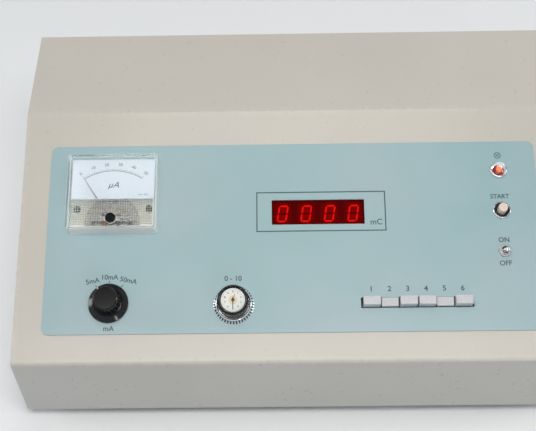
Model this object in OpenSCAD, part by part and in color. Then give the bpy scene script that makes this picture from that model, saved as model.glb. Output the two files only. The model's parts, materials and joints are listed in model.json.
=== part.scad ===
// Bench coulometer: a desk console with a sloped control panel, an analogue meter,
// a four-digit display, a row of piano keys, two dials and a column of switches.
// The frame has +X to the right, +Y to the rear and +Z up. The origin is on the
// table, under the middle of the case. Panel parts are placed by their distance
// from the middle of the case, their distance up the slope from the front fold,
// and their height above the painted sheet.

/* [Case] */
// Width of the case across its side cheeks
case_w = 390; // [384:1:410]
// Depth of the case from the front face to the rear edge
case_d = 260; // [252:1:275]
// Height of the flat top above the underside of the case
case_h = 124; // [118:1:132]
// Height of the upright front face
lip_h = 64; // [60:1:70]
// Depth of the flat top behind the ridge
top_d = 82; // [74:1:86]
// Thickness of the steel sheet
sheet_t = 1.5; // [1.2:0.1:1.8]
// Outside radius of the folds in the cover
bend_r = 3; // [2.2:0.2:4]
// Gap between the cover and the parts that slide inside it
cover_gap = 0.3; // [0.2:0.1:0.5]
// How far the rear panel is set in from the rear edge
rear_inset = 15; // [15:1:20]
// Height of the upturned flanges on the base pan
flange_h = 14; // [12:1:18]
// Height of the rubber feet
foot_h = 10; // [8:1:14]
// Diameter of the rubber feet at the top
foot_d = 22; // [18:1:26]
// Distance of each foot's middle from the sides of the case
foot_inset = 34; // [28:1:40]

/* [Control plate] */
// Width of the coloured plate on the slope
plate_w = 350; // [340:1:360]
// Length of the plate up the slope
plate_l = 140; // [136:1:148]
// Thickness of the plate
plate_t = 1; // [0.8:0.1:1.5]
// Corner radius of the plate
plate_r = 5; // [3:0.5:8]
// Distance of the plate's lower edge from the front fold
plate_s = 20.5; // [17:0.5:22]

/* [Meter] */
// Meter middle, from the middle of the case
meter_x = -128; // [-130:1:-118]
// Meter middle, up the slope
meter_s = 121; // [119:1:123]
// Width of the meter front
meter_w = 64; // [62:0.5:66]
// Height of the meter front
meter_l = 56; // [55:0.5:58]
// Depth of the clear front above the plate
meter_h = 14; // [13.5:0.5:16]
// Side wall of the clear front
meter_wall = 1.8; // [1.5:0.1:2.2]
// Thickness of the clear front's face
meter_face = 2; // [1.6:0.1:2.4]
// Diameter of the barrel behind the panel
barrel_d = 44; // [40:1:46]
// Depth of the barrel behind the panel
barrel_h = 34; // [30:1:40]
// Distance of the needle's pivot below the meter middle
pivot_drop = 20.3; // [19.5:0.1:20.8]
// Half of the needle's sweep, in degrees
sweep_half = 33.5; // [30:0.5:35]
// Radius of the printed scale
scale_r = 37.5; // [36:0.5:38]
// Diameter of the zero screw
zero_d = 7; // [6:0.2:7.6]

/* [Display] */
// Window middle, from the middle of the case
display_x = 18; // [10:1:24]
// Window middle, up the slope
display_s = 108; // [104:1:112]
// Width of the red window
window_w = 66; // [65:0.5:68]
// Height of the red window
window_l = 18.5; // [18:0.5:20]
// Thickness of the red window
filter_t = 2; // [1.6:0.2:3]
// Distance between digit middles
digit_pitch = 16.8; // [16:0.1:17]
// Width of one digit block
digit_w = 12.6; // [12:0.1:13.5]
// Height of one digit block
digit_l = 17.6; // [16.5:0.1:18]
// Depth of one digit block
digit_h = 7; // [6:0.5:8]
// Height of a figure
figure_l = 12.7; // [11:0.1:13]
// Width of a figure
figure_w = 7.2; // [6.5:0.1:7.5]
// Lean of the figures, in degrees
figure_lean = 9; // [5:1:12]

/* [Range switch] */
// Knob middle, from the middle of the case
range_x = -129; // [-135:1:-120]
// Knob middle, up the slope
range_s = 42.3; // [40:0.1:46]
// Diameter of the knob's skirt
skirt_d = 28; // [26:0.5:30]
// Diameter of the knob's grip at its top
grip_d = 17; // [16.5:0.5:19]
// Height of the knob above the plate
range_h = 16; // [14:0.5:19]
// Angle of the pointer from the top, in degrees, where it stands at rest
range_angle = 36; // [-36:36:36]
// Diameter of the two spindles
spindle_d = 6; // [5.5:0.1:6.35]

/* [Turns dial] */
// Dial middle, from the middle of the case
turns_x = -41.8; // [-50:0.2:-34]
// Dial middle, up the slope
turns_s = 40.4; // [38:0.1:44]
// Diameter of the bright ring
ring_d = 28; // [27:0.5:30]
// Height of the bright ring above the plate
ring_h = 5; // [4.5:0.5:6]
// Diameter of the black knob in the ring
turns_d = 21.4; // [21:0.2:22]
// Height of the knob above the plate
turns_h = 15.6; // [15:0.1:17]
// Diameter of the white face
face_d = 16.6; // [16:0.1:17]
// Turns that the hands show at rest, of ten
turns_now = 0.5; // [0.5:0.5:9.5]

/* [Keys] */
// Middle of the row of keys, from the middle of the case
keys_x = 85.4; // [80:0.2:88]
// Middle of the row of keys, up the slope
keys_s = 41; // [38:0.5:45]
// Distance between two keys
key_pitch = 12.7; // [12.6:0.05:13]
// Width of a key cap
cap_w = 11.8; // [11:0.1:12]
// Height of a key cap along the slope
cap_l = 6.2; // [5.5:0.1:7]
// Height of a released cap above the sheet
cap_top = 8.2; // [7.5:0.1:9]
// Length of a key cap
cap_h = 12.5; // [12:0.5:14]
// Travel of a key
key_travel = 5; // [4:0.5:5.5]

/* [Switch column] */
// Column of indicator and switches, from the middle of the case
column_x = 148.4; // [145:0.2:150]
// Indicator, up the slope
led_s = 138; // [134:1:142]
// Push button, up the slope
push_s = 107.4; // [104:0.2:110]
// Work switch, up the slope
toggle_s = 77.2; // [74:0.2:82]
// Diameter of the indicator's and the push button's bezels
bezel_d = 13; // [12:0.5:14]
// Diameter of the push button's cap
push_d = 6.6; // [6:0.2:7]
// Height of the push button above the plate
push_h = 7.6; // [7:0.2:9]
// Travel of the push button
push_travel = 3; // [2:0.5:3.5]
// Lean of the toggle lever to each side, in degrees
toggle_lean = 13; // [10:1:14]
// Length of the toggle lever above its pivot
lever_l = 8; // [7:0.5:10]

/* [Rear] */
// Bore of the electrode sockets
socket_bore = 4.1; // [4:0.05:4.3]
// Depth of the socket bores
socket_depth = 18; // [16:1:22]
// Distance between the two sockets of a pair
socket_pitch = 19; // [17:0.5:24]
// Lean of the mains rocker to each side, in degrees
rocker_lean = 8; // [6:1:9]

/* [Hidden] */
$fn = 64;
past = 2; // cuts run this far past a face
hole_gap = 0.2; // all round a screw, a bushing or a barrel in its hole
run_gap = 0.05; // all round a shaft that turns in its bearing
grip_gap = 0.01; // all round a nut on its thread or a knob on its shaft
loose_gap = 0.4; // all round a part that moves freely in its housing

// Case
slope_run = case_d - top_d;
slope_rise = case_h - lip_h;
slope_angle = atan(slope_rise / slope_run);
front_y = -case_d / 2;
inside_w = case_w - 2 * sheet_t - 2 * cover_gap;
rear_face = case_d - rear_inset; // outer face of the rear panel, from the front face
pan_front = sheet_t + cover_gap;
pan_d = rear_face - sheet_t - pan_front;
bend_steps = 6;
cheek_strip_w = 14; // strips turned in from the cheeks, which carry the rear panel
cheek_strip_gap = 4; // above the pan's flange
rear_panel_low = 0.5;

// Screws
screw_d = 3;
screw_head_d = 5.6;
screw_head_h = 1.8;
screw_l = 8;
chassis_d = 4;
chassis_head_d = 7;
chassis_head_h = 2.4;
chassis_nut_af = 7;
chassis_nut_h = 3;
side_screw_y = [40, case_d / 2, rear_face - 30]; // from the front face
edge_screw_z = 7; // screws into the pan's flanges, above the underside
side_screws = [for (side = [-1, 1]) for (y = side_screw_y) [side, y]];
rear_screws = concat(
    [for (side = [-1, 1]) for (z = [40, 100]) [side * (inside_w - cheek_strip_w) / 2, z]],
    [for (side = [-1, 1]) [side * (case_w / 2 - 95), edge_screw_z]]
);

// Feet
foot_seat = 2.5; // rubber between the screw head and the pan
foot_well_d = 10;
foot_taper = 3;
foot_places = [
    for (x = [-1, 1]) for (y = [foot_inset, rear_face - foot_inset])
        [x * (case_w / 2 - foot_inset), y]
];

// Vents
vent_count = 14;
vent_pitch = 9;
vent_w = 3;
pan_vent_l = 46;
rear_vent_l = 22;
rear_vent_z = 92;

// Panel stack
stack = plate_t; // what stands on the plate starts here
bushing_d = 9;
bushing_h = 6; // above the plate
nut_af = 12;
nut_h = 2;
washer_d = 14;
washer_t = 0.6;
knob_well_d = 15.4; // hollow under a knob that clears its nut
knob_lift = 0.5; // knob above the plate

// Meter
pivot_s = meter_s - pivot_drop;
barrel_s = meter_s - 2;
base_t = 2;
stud_x = meter_w / 2 - 6.4;
stud_s = meter_s - 10.2;
stud_l = 9; // below the sheet
dial_w = meter_w - 2 * meter_wall - 1.4;
dial_l = 30.5;
dial_h = meter_h / 2; // underside of the card above the plate
dial_t = 0.5;
dial_s = meter_s + meter_l / 2 - meter_wall - 0.3 - dial_l / 2;
zero_flange_h = 0.6;
zero_flange_w = 0.5;
zero_top = 1.2; // zero screw above the clear face
bridge_t = 0.6;
bridge_top = meter_h - meter_face - zero_flange_h - 0.2;
bridge_h = bridge_top - bridge_t;
hub_h = 1;
hub_d = 3.6;
needle_t = 0.35;
needle_h = bridge_h - hub_h - 0.3; // underside of the hub above the plate
yoke_r = 19.5;
yoke_low = -5.4;
yoke_t = 1.6;
core_d = 11;
shoe_d = 15.4;
shoe_outer_d = 24;
shoe_h = needle_h - base_t - 1.1;
post_x = 14;

// Display
filter_rim = 2; // overlap of the filter behind the plate
digits_top = -filter_t - 0.6; // front of the digit blocks
relief_t = 0.2; // bars of the figures stand out by this
bar_w = 1.2;
board_t = 1.6;
display_board_h = digits_top - digit_h; // front of the display board
display_board = [86, 38];
display_screw = [38, 14.5];
spacer_d = 5;

// Turns dial
rim_wall = 1.5; // black rim round the lens
lens_t = 0.8;
ring_floor = 0.8;
recess_h = 2.4; // face, hands and lens, below the rim's top
shelf_h = turns_h - recess_h;
face_h = 0.3; // face above the shelf
face_t = 0.4;
face_bore = 2.6;
hand_t = 0.2;
hand_h = face_h + face_t + 0.15;
long_hand_h = hand_h + hand_t + 0.15;
hand_pin_d = 1;

// Keys
key_count = 6;
pressed = [0, 1, 0, 0, 1, 0]; // keys that are latched down
slot_gap = 0.6; // between the caps and the slot in the plate
slot_end_gap = 1.4;
plunger = [4, 3];
plunger_fit = 0.05; // plunger in its cap
plunger_gap = 0.3; // plunger in its switch
cap_socket_h = 6; // plunger inside its cap
key_frame_h = -14; // front of the frame, from the sheet
key_frame_t = 1.2;
key_frame_l = 16;
key_switch_h = 30;
key_row_w = (key_count - 1) * key_pitch + cap_w;
key_frame_w = key_row_w + 20;

// Switch column
push_barrel_d = 10;
led_barrel_d = 8;
toggle_bushing_d = 6;
barrel_l = 9; // bezel barrels behind the plate's face
push_low = -8; // lower end of the push button
toggle_pivot_h = 2.6; // above the plate
toggle_bushing_h = 4;
toggle_well_d = 4.4;
toggle_pin_d = 1; // cross pin of the lever, held in the bushing's wall
toggle_pin_l = 5.4;
led_d = 5;

// Boards and transformer
spacer_h = 8;
board = [216, 130];
board_rear_gap = 45; // from the rear panel, for the sockets and their leads
board_at = [-case_w / 2 + 140, rear_face - board_rear_gap - board[1] / 2]; // its middle
board_screw_edge = 6;
core = [66, 34, 56];
core_rear_gap = 50;
transformer_at = [case_w / 2 - 67, rear_face - core_rear_gap - core[1] / 2];
lug = [9, 20, 2];
board_screws = [
    for (x = [-1, 1]) for (y = [-1, 1])
        [x * (board[0] / 2 - board_screw_edge), y * (board[1] / 2 - board_screw_edge)]
];
lug_screws = [for (side = [-1, 1]) [transformer_at[0] + side * (core[0] + lug[0]) / 2, transformer_at[1]]];

// Rear
inlet_at = [case_w / 2 - 63, 38]; // from the case middle and above the underside
inlet_body = [27, 19.6];
inlet_flange = [30.6, 24, 2.4];
inlet_recess = [24, 16.4];
inlet_depth = 15.6; // of the recess, from the flange's face
inlet_pin_h = 9.6;
switch_at = [case_w / 2 - 33, 38];
switch_flange = [15, 21, 2];
switch_body = [13, 19.2, 13];
rocker = [9.6, 15.2];
rocker_tip = 4.2; // above the panel
fuse_at = [case_w / 2 - 103, 38];
fuse_body_d = 12.6;
fuse_bore_d = 9;
fuse_flange_h = 2;
fuse_l = 34;
socket_head_h = 6;
socket_thread_d = 8;
socket_pairs = [85, 140]; // middle of each pair, from the side of the case
socket_z = 60;
sockets = [
    for (pair = socket_pairs) for (side = [-0.5, 0.5])
        [-case_w / 2 + pair + side * socket_pitch, socket_z]
];
trunnion_d = 2; // stub shafts of the mains rocker
trunnion_l = 0.8; // into each wall of the switch
trunnion_span = rocker[0] + 2 * (loose_gap + trunnion_l);

function unit(v) = v / norm(v);
// Points of a fold of radius r at corner p, between the corners a and b
function fold(a, p, b, r) =
    let (u = unit(a - p), v = unit(b - p), half = acos(u * v) / 2,
         middle = p + unit(u + v) * r / sin(half),
         from = p + u * r / tan(half) - middle,
         to = p + v * r / tan(half) - middle,
         start = atan2(from[1], from[0]),
         full = atan2(to[1], to[0]) - start,
         sweep = full > 180 ? full - 360 : full < -180 ? full + 360 : full)
    [for (i = [0:bend_steps])
        middle + r * [cos(start + sweep * i / bend_steps), sin(start + sweep * i / bend_steps)]];
// A corner moved inwards by the sheet's thickness
function inward(a, p, b) =
    let (u = unit(a - p), v = unit(b - p), half = acos(u * v) / 2)
    p + unit(u + v) * sheet_t / sin(half);

// Side profile of the cover, as [depth, height] from the lower front corner
lip_corner = [0, lip_h];
ridge_corner = [slope_run, case_h];

module outer_profile() {
    front = [0, 0];
    back = [case_d, case_h];
    polygon(concat(
        [front],
        fold(front, lip_corner, ridge_corner, bend_r),
        fold(lip_corner, ridge_corner, back, bend_r),
        [back, [case_d, 0]]
    ));
}

module inner_profile() {
    lip_in = inward([0, 0], lip_corner, ridge_corner);
    ridge_in = inward(lip_corner, ridge_corner, [case_d, case_h]);
    front = [sheet_t, -past];
    back = [case_d + past, case_h - sheet_t];
    polygon(concat(
        [front],
        fold(front, lip_in, ridge_in, bend_r - sheet_t),
        fold(lip_in, ridge_in, back, bend_r - sheet_t),
        [back, [case_d + past, -past]]
    ));
}

// A side profile, drawn as [depth, height], stretched across the case
module across(width) {
    translate([-width / 2, front_y, foot_h])
        rotate([90, 0, 90]) linear_extrude(width) children();
}

// Places a part on the slope: local +Y runs up the slope and +Z out of it
module on_panel(x, s, h = 0) {
    translate([0, front_y, foot_h + lip_h])
        rotate([slope_angle, 0, 0]) translate([x, s, h]) children();
}

// Places a part on the rear panel: local +X runs to the right as seen from behind,
// +Y up and +Z out of the rear
module on_rear(p, out = 0) {
    translate([p[0], front_y + rear_face + out, foot_h + p[1]])
        rotate([90, 0, 180]) children();
}

// Places a part in the case, from the case middle, the front face and the underside
module in_case(x, y, z) {
    translate([x, front_y + y, foot_h + z]) children();
}

module rounded_outline(w, l, r) {
    square([w - 2 * r, l], center = true);
    square([w, l - 2 * r], center = true);
    for (x = [-1, 1]) for (y = [-1, 1])
        translate([x * (w / 2 - r), y * (l / 2 - r)]) circle(r);
}

module rounded_plate(w, l, t, r) {
    linear_extrude(t) rounded_outline(w, l, r);
}

module block(w, l, h) {
    translate([-w / 2, -l / 2, 0]) cube([w, l, h]);
}

module hexagon(af, h) {
    cylinder(h = h, d = af / cos(30), $fn = 6);
}

module tube(outer_d, inner_d, h) {
    difference() {
        cylinder(h = h, d = outer_d);
        drill(inner_d, 0, h);
    }
}

module nut(af, h, bore) {
    difference() {
        hexagon(af, h);
        drill(bore, 0, h);
    }
}

// A round hole from one height to another, cut past both
module drill(d, from, to) {
    translate([0, 0, from - past]) cylinder(h = to - from + 2 * past, d = d);
}

// A round hole from one height to another, blind at the lower one
module blind(d, from, to) {
    translate([0, 0, from]) cylinder(h = to - from + past, d = d);
}

module vent_row(length) {
    for (i = [0:vent_count - 1]) translate([(i - (vent_count - 1) / 2) * vent_pitch, 0, 0])
        rounded_plate(vent_w, length, sheet_t + 2 * past, vent_w / 2 - 0.1);
}

// Holes for a row of screws in the two side walls
module side_holes() {
    for (s = side_screws) in_case(s[0] * case_w / 2, s[1], edge_screw_z)
        rotate([0, 90, 0])
            cylinder(h = 8 * sheet_t, d = screw_d + 2 * hole_gap, center = true);
}

module rear_hole(p, d) {
    on_rear(p) cylinder(h = 8 * sheet_t, d = d + 2 * hole_gap, center = true);
}

// Round holes that the plate and the sheet share, drawn flat on the slope
module control_holes() {
    places = [
        [meter_x, barrel_s, barrel_d],
        [meter_x - stud_x, stud_s, screw_d],
        [meter_x + stud_x, stud_s, screw_d],
        [range_x, range_s, bushing_d],
        [turns_x, turns_s, bushing_d],
        [column_x, led_s, led_barrel_d],
        [column_x, push_s, push_barrel_d],
        [column_x, toggle_s, toggle_bushing_d]
    ];
    for (p = places) translate([p[0], p[1]]) circle(d = p[2] + 2 * hole_gap);
}

module key_slot(margin) {
    translate([keys_x, keys_s]) square([
        key_row_w + 2 * (slot_end_gap + margin), cap_l + 2 * (slot_gap + margin)
    ], center = true);
}

module window_hole(margin) {
    translate([display_x, display_s])
        square([window_w + 2 * margin, window_l + 2 * margin], center = true);
}

module top_cover() {
    color("#cfc9bd") {
        difference() {
            across(case_w) outer_profile();
            across(case_w - 2 * sheet_t) inner_profile();
            on_panel(0, 0, -sheet_t - past) linear_extrude(sheet_t + 2 * past) {
                control_holes();
                key_slot(1);
                window_hole(filter_rim + cover_gap);
            }
            side_holes();
        }
        for (side = [-1, 1]) cheek_strip(side);
    }
}

// Strip turned in from a cheek, which the rear panel is screwed to
module cheek_strip(side) {
    low = flange_h + cheek_strip_gap;
    high = case_h - sheet_t / 2;
    width = cheek_strip_w + sheet_t / 2;
    difference() {
        in_case(side * (case_w - sheet_t - width) / 2, rear_face - 1.5 * sheet_t, low)
            block(width, sheet_t, high - low);
        for (p = rear_screws) rear_hole(p, screw_d);
    }
}

module base_pan() {
    color("#b9b4a9") difference() {
        in_case(0, pan_front + pan_d / 2, 0) block(inside_w, pan_d, flange_h);
        in_case(0, pan_front + pan_d / 2, sheet_t)
            block(inside_w - 2 * sheet_t, pan_d - 2 * sheet_t, flange_h);
        side_holes();
        for (p = rear_screws) rear_hole(p, screw_d);
        for (p = concat(foot_places, lug_screws)) in_case(p[0], p[1], 0)
            drill(chassis_d + 2 * hole_gap, 0, sheet_t);
        in_case(0, board_at[1], -past) vent_row(pan_vent_l);
    }
}

module rear_panel() {
    high = case_h - sheet_t - cover_gap;
    color("#c9c3b7") difference() {
        in_case(0, rear_face - sheet_t / 2, rear_panel_low)
            block(inside_w, sheet_t, high - rear_panel_low);
        for (p = rear_screws) rear_hole(p, screw_d);
        for (p = sockets) rear_hole(p, socket_thread_d);
        rear_hole(fuse_at, fuse_body_d);
        rear_cutout(inlet_at, inlet_body);
        rear_cutout(switch_at, switch_body);
        on_rear([0, rear_vent_z], -sheet_t - past) vent_row(rear_vent_l);
    }
}

module rear_cutout(p, size) {
    on_rear(p, -sheet_t - past)
        block(size[0] + 2 * hole_gap, size[1] + 2 * hole_gap, sheet_t + 2 * past);
}

module rubber_feet() {
    color("#1d1d1f") for (p = foot_places) in_case(p[0], p[1], -foot_h) difference() {
        cylinder(h = foot_h, d1 = foot_d - foot_taper, d2 = foot_d);
        drill(chassis_d + 2 * hole_gap, 0, foot_h);
        drill(foot_well_d, -past, foot_h - foot_seat - past);
    }
}

// A slotted screw with its nut: the head hangs below z = 0 and the nut sits at the grip
module chassis_screw(grip) {
    slot = [chassis_head_d + 1, 1];
    difference() {
        translate([0, 0, -chassis_head_h]) cylinder(h = chassis_head_h, d = chassis_head_d);
        translate([0, 0, -chassis_head_h - past]) block(slot[0], slot[1], past + 1);
    }
    cylinder(h = grip + chassis_nut_h + 1, d = chassis_d);
    translate([0, 0, grip]) hexagon(chassis_nut_af, chassis_nut_h);
}

module chassis_screws() {
    color("#9a9ca0") {
        for (p = foot_places) in_case(p[0], p[1], -foot_seat) chassis_screw(foot_seat + sheet_t);
        for (p = lug_screws) in_case(p[0], p[1], 0) chassis_screw(sheet_t + lug[2]);
    }
}

// A pan-head screw whose head stands on z = 0 and whose shank points to -Z
module machine_screw() {
    cross = [3.2, 0.7, 0.8];
    difference() {
        cylinder(h = screw_head_h, d1 = screw_head_d, d2 = screw_head_d - 1.2);
        for (turn = [0, 90]) rotate([0, 0, turn])
            translate([0, 0, screw_head_h - cross[2]]) block(cross[0], cross[1], past);
    }
    translate([0, 0, -screw_l]) cylinder(h = screw_l, d = screw_d);
}

module machine_screws() {
    color("#a7a9ad") {
        for (s = side_screws) in_case(s[0] * case_w / 2, s[1], edge_screw_z)
            rotate([0, s[0] * 90, 0]) machine_screw();
        for (p = rear_screws) on_rear(p) machine_screw();
        for (p = board_screws)
            in_case(board_at[0] + p[0], board_at[1] + p[1], sheet_t + spacer_h + board_t)
                machine_screw();
        for (x = [-1, 1]) for (y = [-1, 1])
            on_panel(display_x + x * display_screw[0], display_s + y * display_screw[1],
                     display_board_h - board_t)
                mirror([0, 0, 1]) machine_screw();
    }
}

module control_plate() {
    color("#a6c0c4") on_panel(0, 0) linear_extrude(plate_t) difference() {
        translate([0, plate_s + plate_l / 2]) rounded_outline(plate_w, plate_l, plate_r);
        control_holes();
        key_slot(0);
        window_hole(0);
    }
}

// Meter

module meter_cover() {
    corner = 2;
    inner_w = meter_w - 2 * meter_wall;
    inner_l = meter_l - 2 * meter_wall;
    inner_h = meter_h - meter_face;
    color("#dfe9ec") on_panel(meter_x, meter_s, stack) difference() {
        rounded_plate(meter_w, meter_l, meter_h, corner);
        translate([0, 0, -past]) rounded_plate(inner_w, inner_l, inner_h + past, corner / 2);
        translate([0, -pivot_drop, 0]) drill(zero_d + 2 * hole_gap, inner_h, meter_h);
    }
}

module meter_housing() {
    base_w = meter_w - 2 * meter_wall - 2 * hole_gap;
    base_l = meter_l - 2 * meter_wall - 2 * hole_gap;
    barrel_y = barrel_s - meter_s;
    stud_y = stud_s - meter_s;
    pillar_x = dial_w / 2 - 3;
    terminal_x = barrel_d / 4;
    color("#232427") on_panel(meter_x, meter_s) {
        translate([0, 0, stack]) rounded_plate(base_w, base_l, base_t, 0.9);
        translate([0, barrel_y, -barrel_h]) cylinder(h = barrel_h + stack, d = barrel_d);
        for (side = [-1, 1]) {
            translate([side * stud_x, stud_y, -sheet_t - stud_l])
                cylinder(h = sheet_t + stud_l + stack, d = screw_d);
            translate([side * stud_x, stud_y, stack + base_t]) cylinder(h = 1, d = 5);
            translate([side * terminal_x, barrel_y, -barrel_h - 8]) cylinder(h = 8, d = 4);
            translate([side * pillar_x, dial_s - meter_s, stack + base_t])
                cylinder(h = dial_h - base_t, d = 3.5);
        }
    }
}

module meter_dial() {
    color("#eef1f4") on_panel(meter_x, dial_s, stack + dial_h) block(dial_w, dial_l, dial_t);
}

// Yoke, pole shoes and core, with the strap that holds the upper jewel
module meter_movement() {
    strap_w = 3.6;
    jewel_h = 0.25;
    span = 2 * yoke_r + 2;
    keep = [span, yoke_r - yoke_low];
    color("#8d8a86") on_panel(meter_x, pivot_s, stack) {
        translate([0, 0, base_t]) {
            intersection() {
                cylinder(h = yoke_t, d = 2 * yoke_r);
                translate([0, yoke_low + keep[1] / 2, 0]) block(keep[0], keep[1] - 5, yoke_t);
            }
            intersection() {
                tube(shoe_outer_d, shoe_d, shoe_h);
                block(span, -2 * yoke_low, shoe_h);
            }
            cylinder(h = shoe_h, d = core_d);
        }
        for (side = [-1, 1]) translate([side * post_x, 0, base_t + yoke_t])
            cylinder(h = bridge_h - base_t - yoke_t, d = 2.6);
        translate([0, 0, bridge_h]) block(2 * post_x + strap_w, strap_w, bridge_t);
        translate([0, 0, bridge_h - jewel_h]) cylinder(h = jewel_h, d = 1.6);
    }
}

// A former that straddles the core and turns in the gap round it
module meter_coil() {
    air = 0.5;
    depth = 2.4;
    reach = core_d / 2 + air;
    side_t = shoe_d / 2 - air - reach;
    top_t = 0.7;
    low = base_t + yoke_t + 0.6;
    color("#b8683a") on_panel(meter_x, pivot_s, stack) rotate([0, 0, sweep_half]) {
        for (side = [-1, 1])
            translate([side * (reach + side_t / 2), 0, low])
                block(side_t, depth, needle_h - low);
        translate([0, 0, needle_h - top_t]) block(2 * reach + side_t, depth, top_t);
    }
}

module meter_needle() {
    reach = scale_r - 1.5;
    root = 1.3;
    tip = 0.45;
    tail = [1.2, 4.6];
    color("#202124") on_panel(meter_x, pivot_s, stack + needle_h) rotate([0, 0, sweep_half]) {
        cylinder(h = hub_h, d = hub_d);
        linear_extrude(needle_t) polygon([
            [-root / 2, 0], [root / 2, 0], [tip / 2, reach], [-tip / 2, reach]
        ]);
        translate([0, -hub_d / 4 - tail[1] / 2, 0]) block(tail[0], tail[1], needle_t);
    }
}

module meter_zero_screw() {
    face = meter_h - meter_face;
    slot = [zero_d + 1, 1, 0.9];
    top = meter_h + zero_top;
    color("#17181a") on_panel(meter_x, pivot_s, stack) difference() {
        union() {
            translate([0, 0, face]) cylinder(h = top - face, d = zero_d);
            translate([0, 0, face - zero_flange_h])
                cylinder(h = zero_flange_h, d = zero_d + 2 * zero_flange_w);
        }
        translate([0, 0, top - slot[2]]) block(slot[0], slot[1], past);
    }
}

// Display

module display_filter() {
    color("#8a0d10") on_panel(display_x, display_s, -filter_t)
        block(window_w + 2 * filter_rim, window_l + 2 * filter_rim, filter_t);
}

// One bar of a figure, with pointed ends, along X
module bar(length) {
    half = length / 2;
    tip = bar_w / 2;
    polygon([
        [-half, 0], [-half + tip, tip], [half - tip, tip],
        [half, 0], [half - tip, -tip], [-half + tip, -tip]
    ]);
}

// The seven bars of a figure and its point, leaning together
module figure() {
    wide = figure_w - bar_w;
    tall = (figure_l - bar_w) / 2;
    join = 0.25;
    shear = tan(figure_lean);
    for (y = [-tall, 0, tall]) translate([y * shear, y]) bar(wide - 2 * join);
    for (x = [-1, 1]) for (y = [-1, 1])
        translate([x * wide / 2 + y * tall / 2 * shear, y * tall / 2])
            rotate(90 - figure_lean) bar(tall / cos(figure_lean) - 2 * join);
    translate([figure_w / 2 + 0.9, -tall]) circle(d = bar_w);
}

module display_digits() {
    color("#5c0a0c") for (i = [0:3])
        on_panel(display_x + (i - 1.5) * digit_pitch, display_s, digits_top - digit_h) {
            block(digit_w, digit_l, digit_h);
            translate([0, 0, digit_h]) linear_extrude(relief_t) figure();
        }
}

module display_board() {
    connector = [30, 6, 8];
    color("#2f6b3c") on_panel(display_x, display_s, display_board_h - board_t) {
        difference() {
            rounded_plate(display_board[0], display_board[1], board_t, 1.5);
            for (x = [-1, 1]) for (y = [-1, 1])
                translate([x * display_screw[0], y * display_screw[1], 0])
                    drill(screw_d + 2 * hole_gap, 0, board_t);
        }
        translate([0, -12, -connector[2]]) block(connector[0], connector[1], connector[2]);
    }
}

module board_spacers() {
    bore = screw_d + 2 * run_gap;
    color("#b8babd") {
        for (x = [-1, 1]) for (y = [-1, 1])
            on_panel(display_x + x * display_screw[0], display_s + y * display_screw[1],
                     display_board_h)
                tube(spacer_d, bore, -sheet_t - display_board_h);
        for (p = board_screws) in_case(board_at[0] + p[0], board_at[1] + p[1], sheet_t)
            tube(spacer_d, bore, spacer_h);
    }
}

// Range switch

module range_knob() {
    skirt_r = skirt_d / 2;
    grip_r = grip_d / 2;
    rim_h = knob_lift + 1.2; // top of the skirt's rim
    grip_low = 4.6;
    root_r = grip_r + 2.2; // where the cone meets the grip
    cone = [skirt_r - root_r, grip_low - 0.4 - rim_h];
    flutes = 20;
    color("#101114") on_panel(range_x, range_s, stack) difference() {
        rotate_extrude() polygon([
            [0, knob_lift], [skirt_r - 0.4, knob_lift], [skirt_r, knob_lift + 0.5],
            [skirt_r, rim_h], [root_r, grip_low - 0.4],
            [grip_r + 0.8, grip_low], [grip_r + 0.8, grip_low + 0.6],
            [grip_r, range_h - 0.8], [grip_r - 0.8, range_h], [0, range_h]
        ]);
        drill(knob_well_d, 0, bushing_h + 0.6 - past);
        drill(spindle_d + 2 * grip_gap, 0, range_h - 3 - past);
        for (i = [0:flutes - 1]) rotate([0, 0, (i + 0.5) * 360 / flutes])
            translate([grip_r + 1, 0, grip_low + 0.8]) cylinder(h = range_h, d = 2);
        // Pointer groove down the cone
        rotate([0, 0, range_angle])
            translate([0, (skirt_r + root_r) / 2, rim_h + cone[1] / 2])
                rotate([-atan(cone[1] / cone[0]), 0, 0])
                    translate([0, 0, -0.25]) block(1, norm(cone) + 1, past);
    }
}

module range_spindle() {
    color("#b4b6ba") on_panel(range_x, range_s, stack - 16)
        cylinder(h = 16 + range_h - 3.2, d = spindle_d);
}

// Wafer switch with its bushing through the panel
module range_switch() {
    body_d = 30;
    body_h = 26;
    tag = [6, 2, 0.8];
    color("#c8bda4") on_panel(range_x, range_s) difference() {
        union() {
            translate([0, 0, -sheet_t - body_h]) cylinder(h = body_h, d = body_d);
            translate([0, 0, -sheet_t]) cylinder(h = sheet_t + stack + bushing_h, d = bushing_d);
            for (i = [0:7]) rotate([0, 0, i * 45]) translate([body_d / 2, 0, -sheet_t - 20])
                block(tag[0], tag[1], tag[2]);
        }
        blind(spindle_d + 2 * run_gap, stack - 16.2, stack + bushing_h);
    }
}

module spindle_nut() {
    difference() {
        union() {
            cylinder(h = washer_t, d = washer_d);
            hexagon(nut_af, washer_t + nut_h);
        }
        drill(bushing_d + 2 * grip_gap, 0, washer_t + nut_h);
    }
}

module panel_nuts() {
    color("#b9bbbf") {
        on_panel(range_x, range_s, stack) spindle_nut();
        on_panel(turns_x, turns_s, stack + ring_floor) spindle_nut();
        for (side = [-1, 1]) on_panel(meter_x + side * stud_x, stud_s, -sheet_t - 2.4)
            nut(5.5, 2.4, screw_d + 2 * grip_gap);
        on_panel(column_x, push_s, -sheet_t - 2) nut(14, 2, push_barrel_d + 2 * grip_gap);
        on_panel(column_x, led_s, -sheet_t - 2) nut(11, 2, led_barrel_d + 2 * grip_gap);
        on_panel(column_x, toggle_s, stack) nut(8, 2, toggle_bushing_d + 2 * grip_gap);
    }
}

// Turns dial

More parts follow.
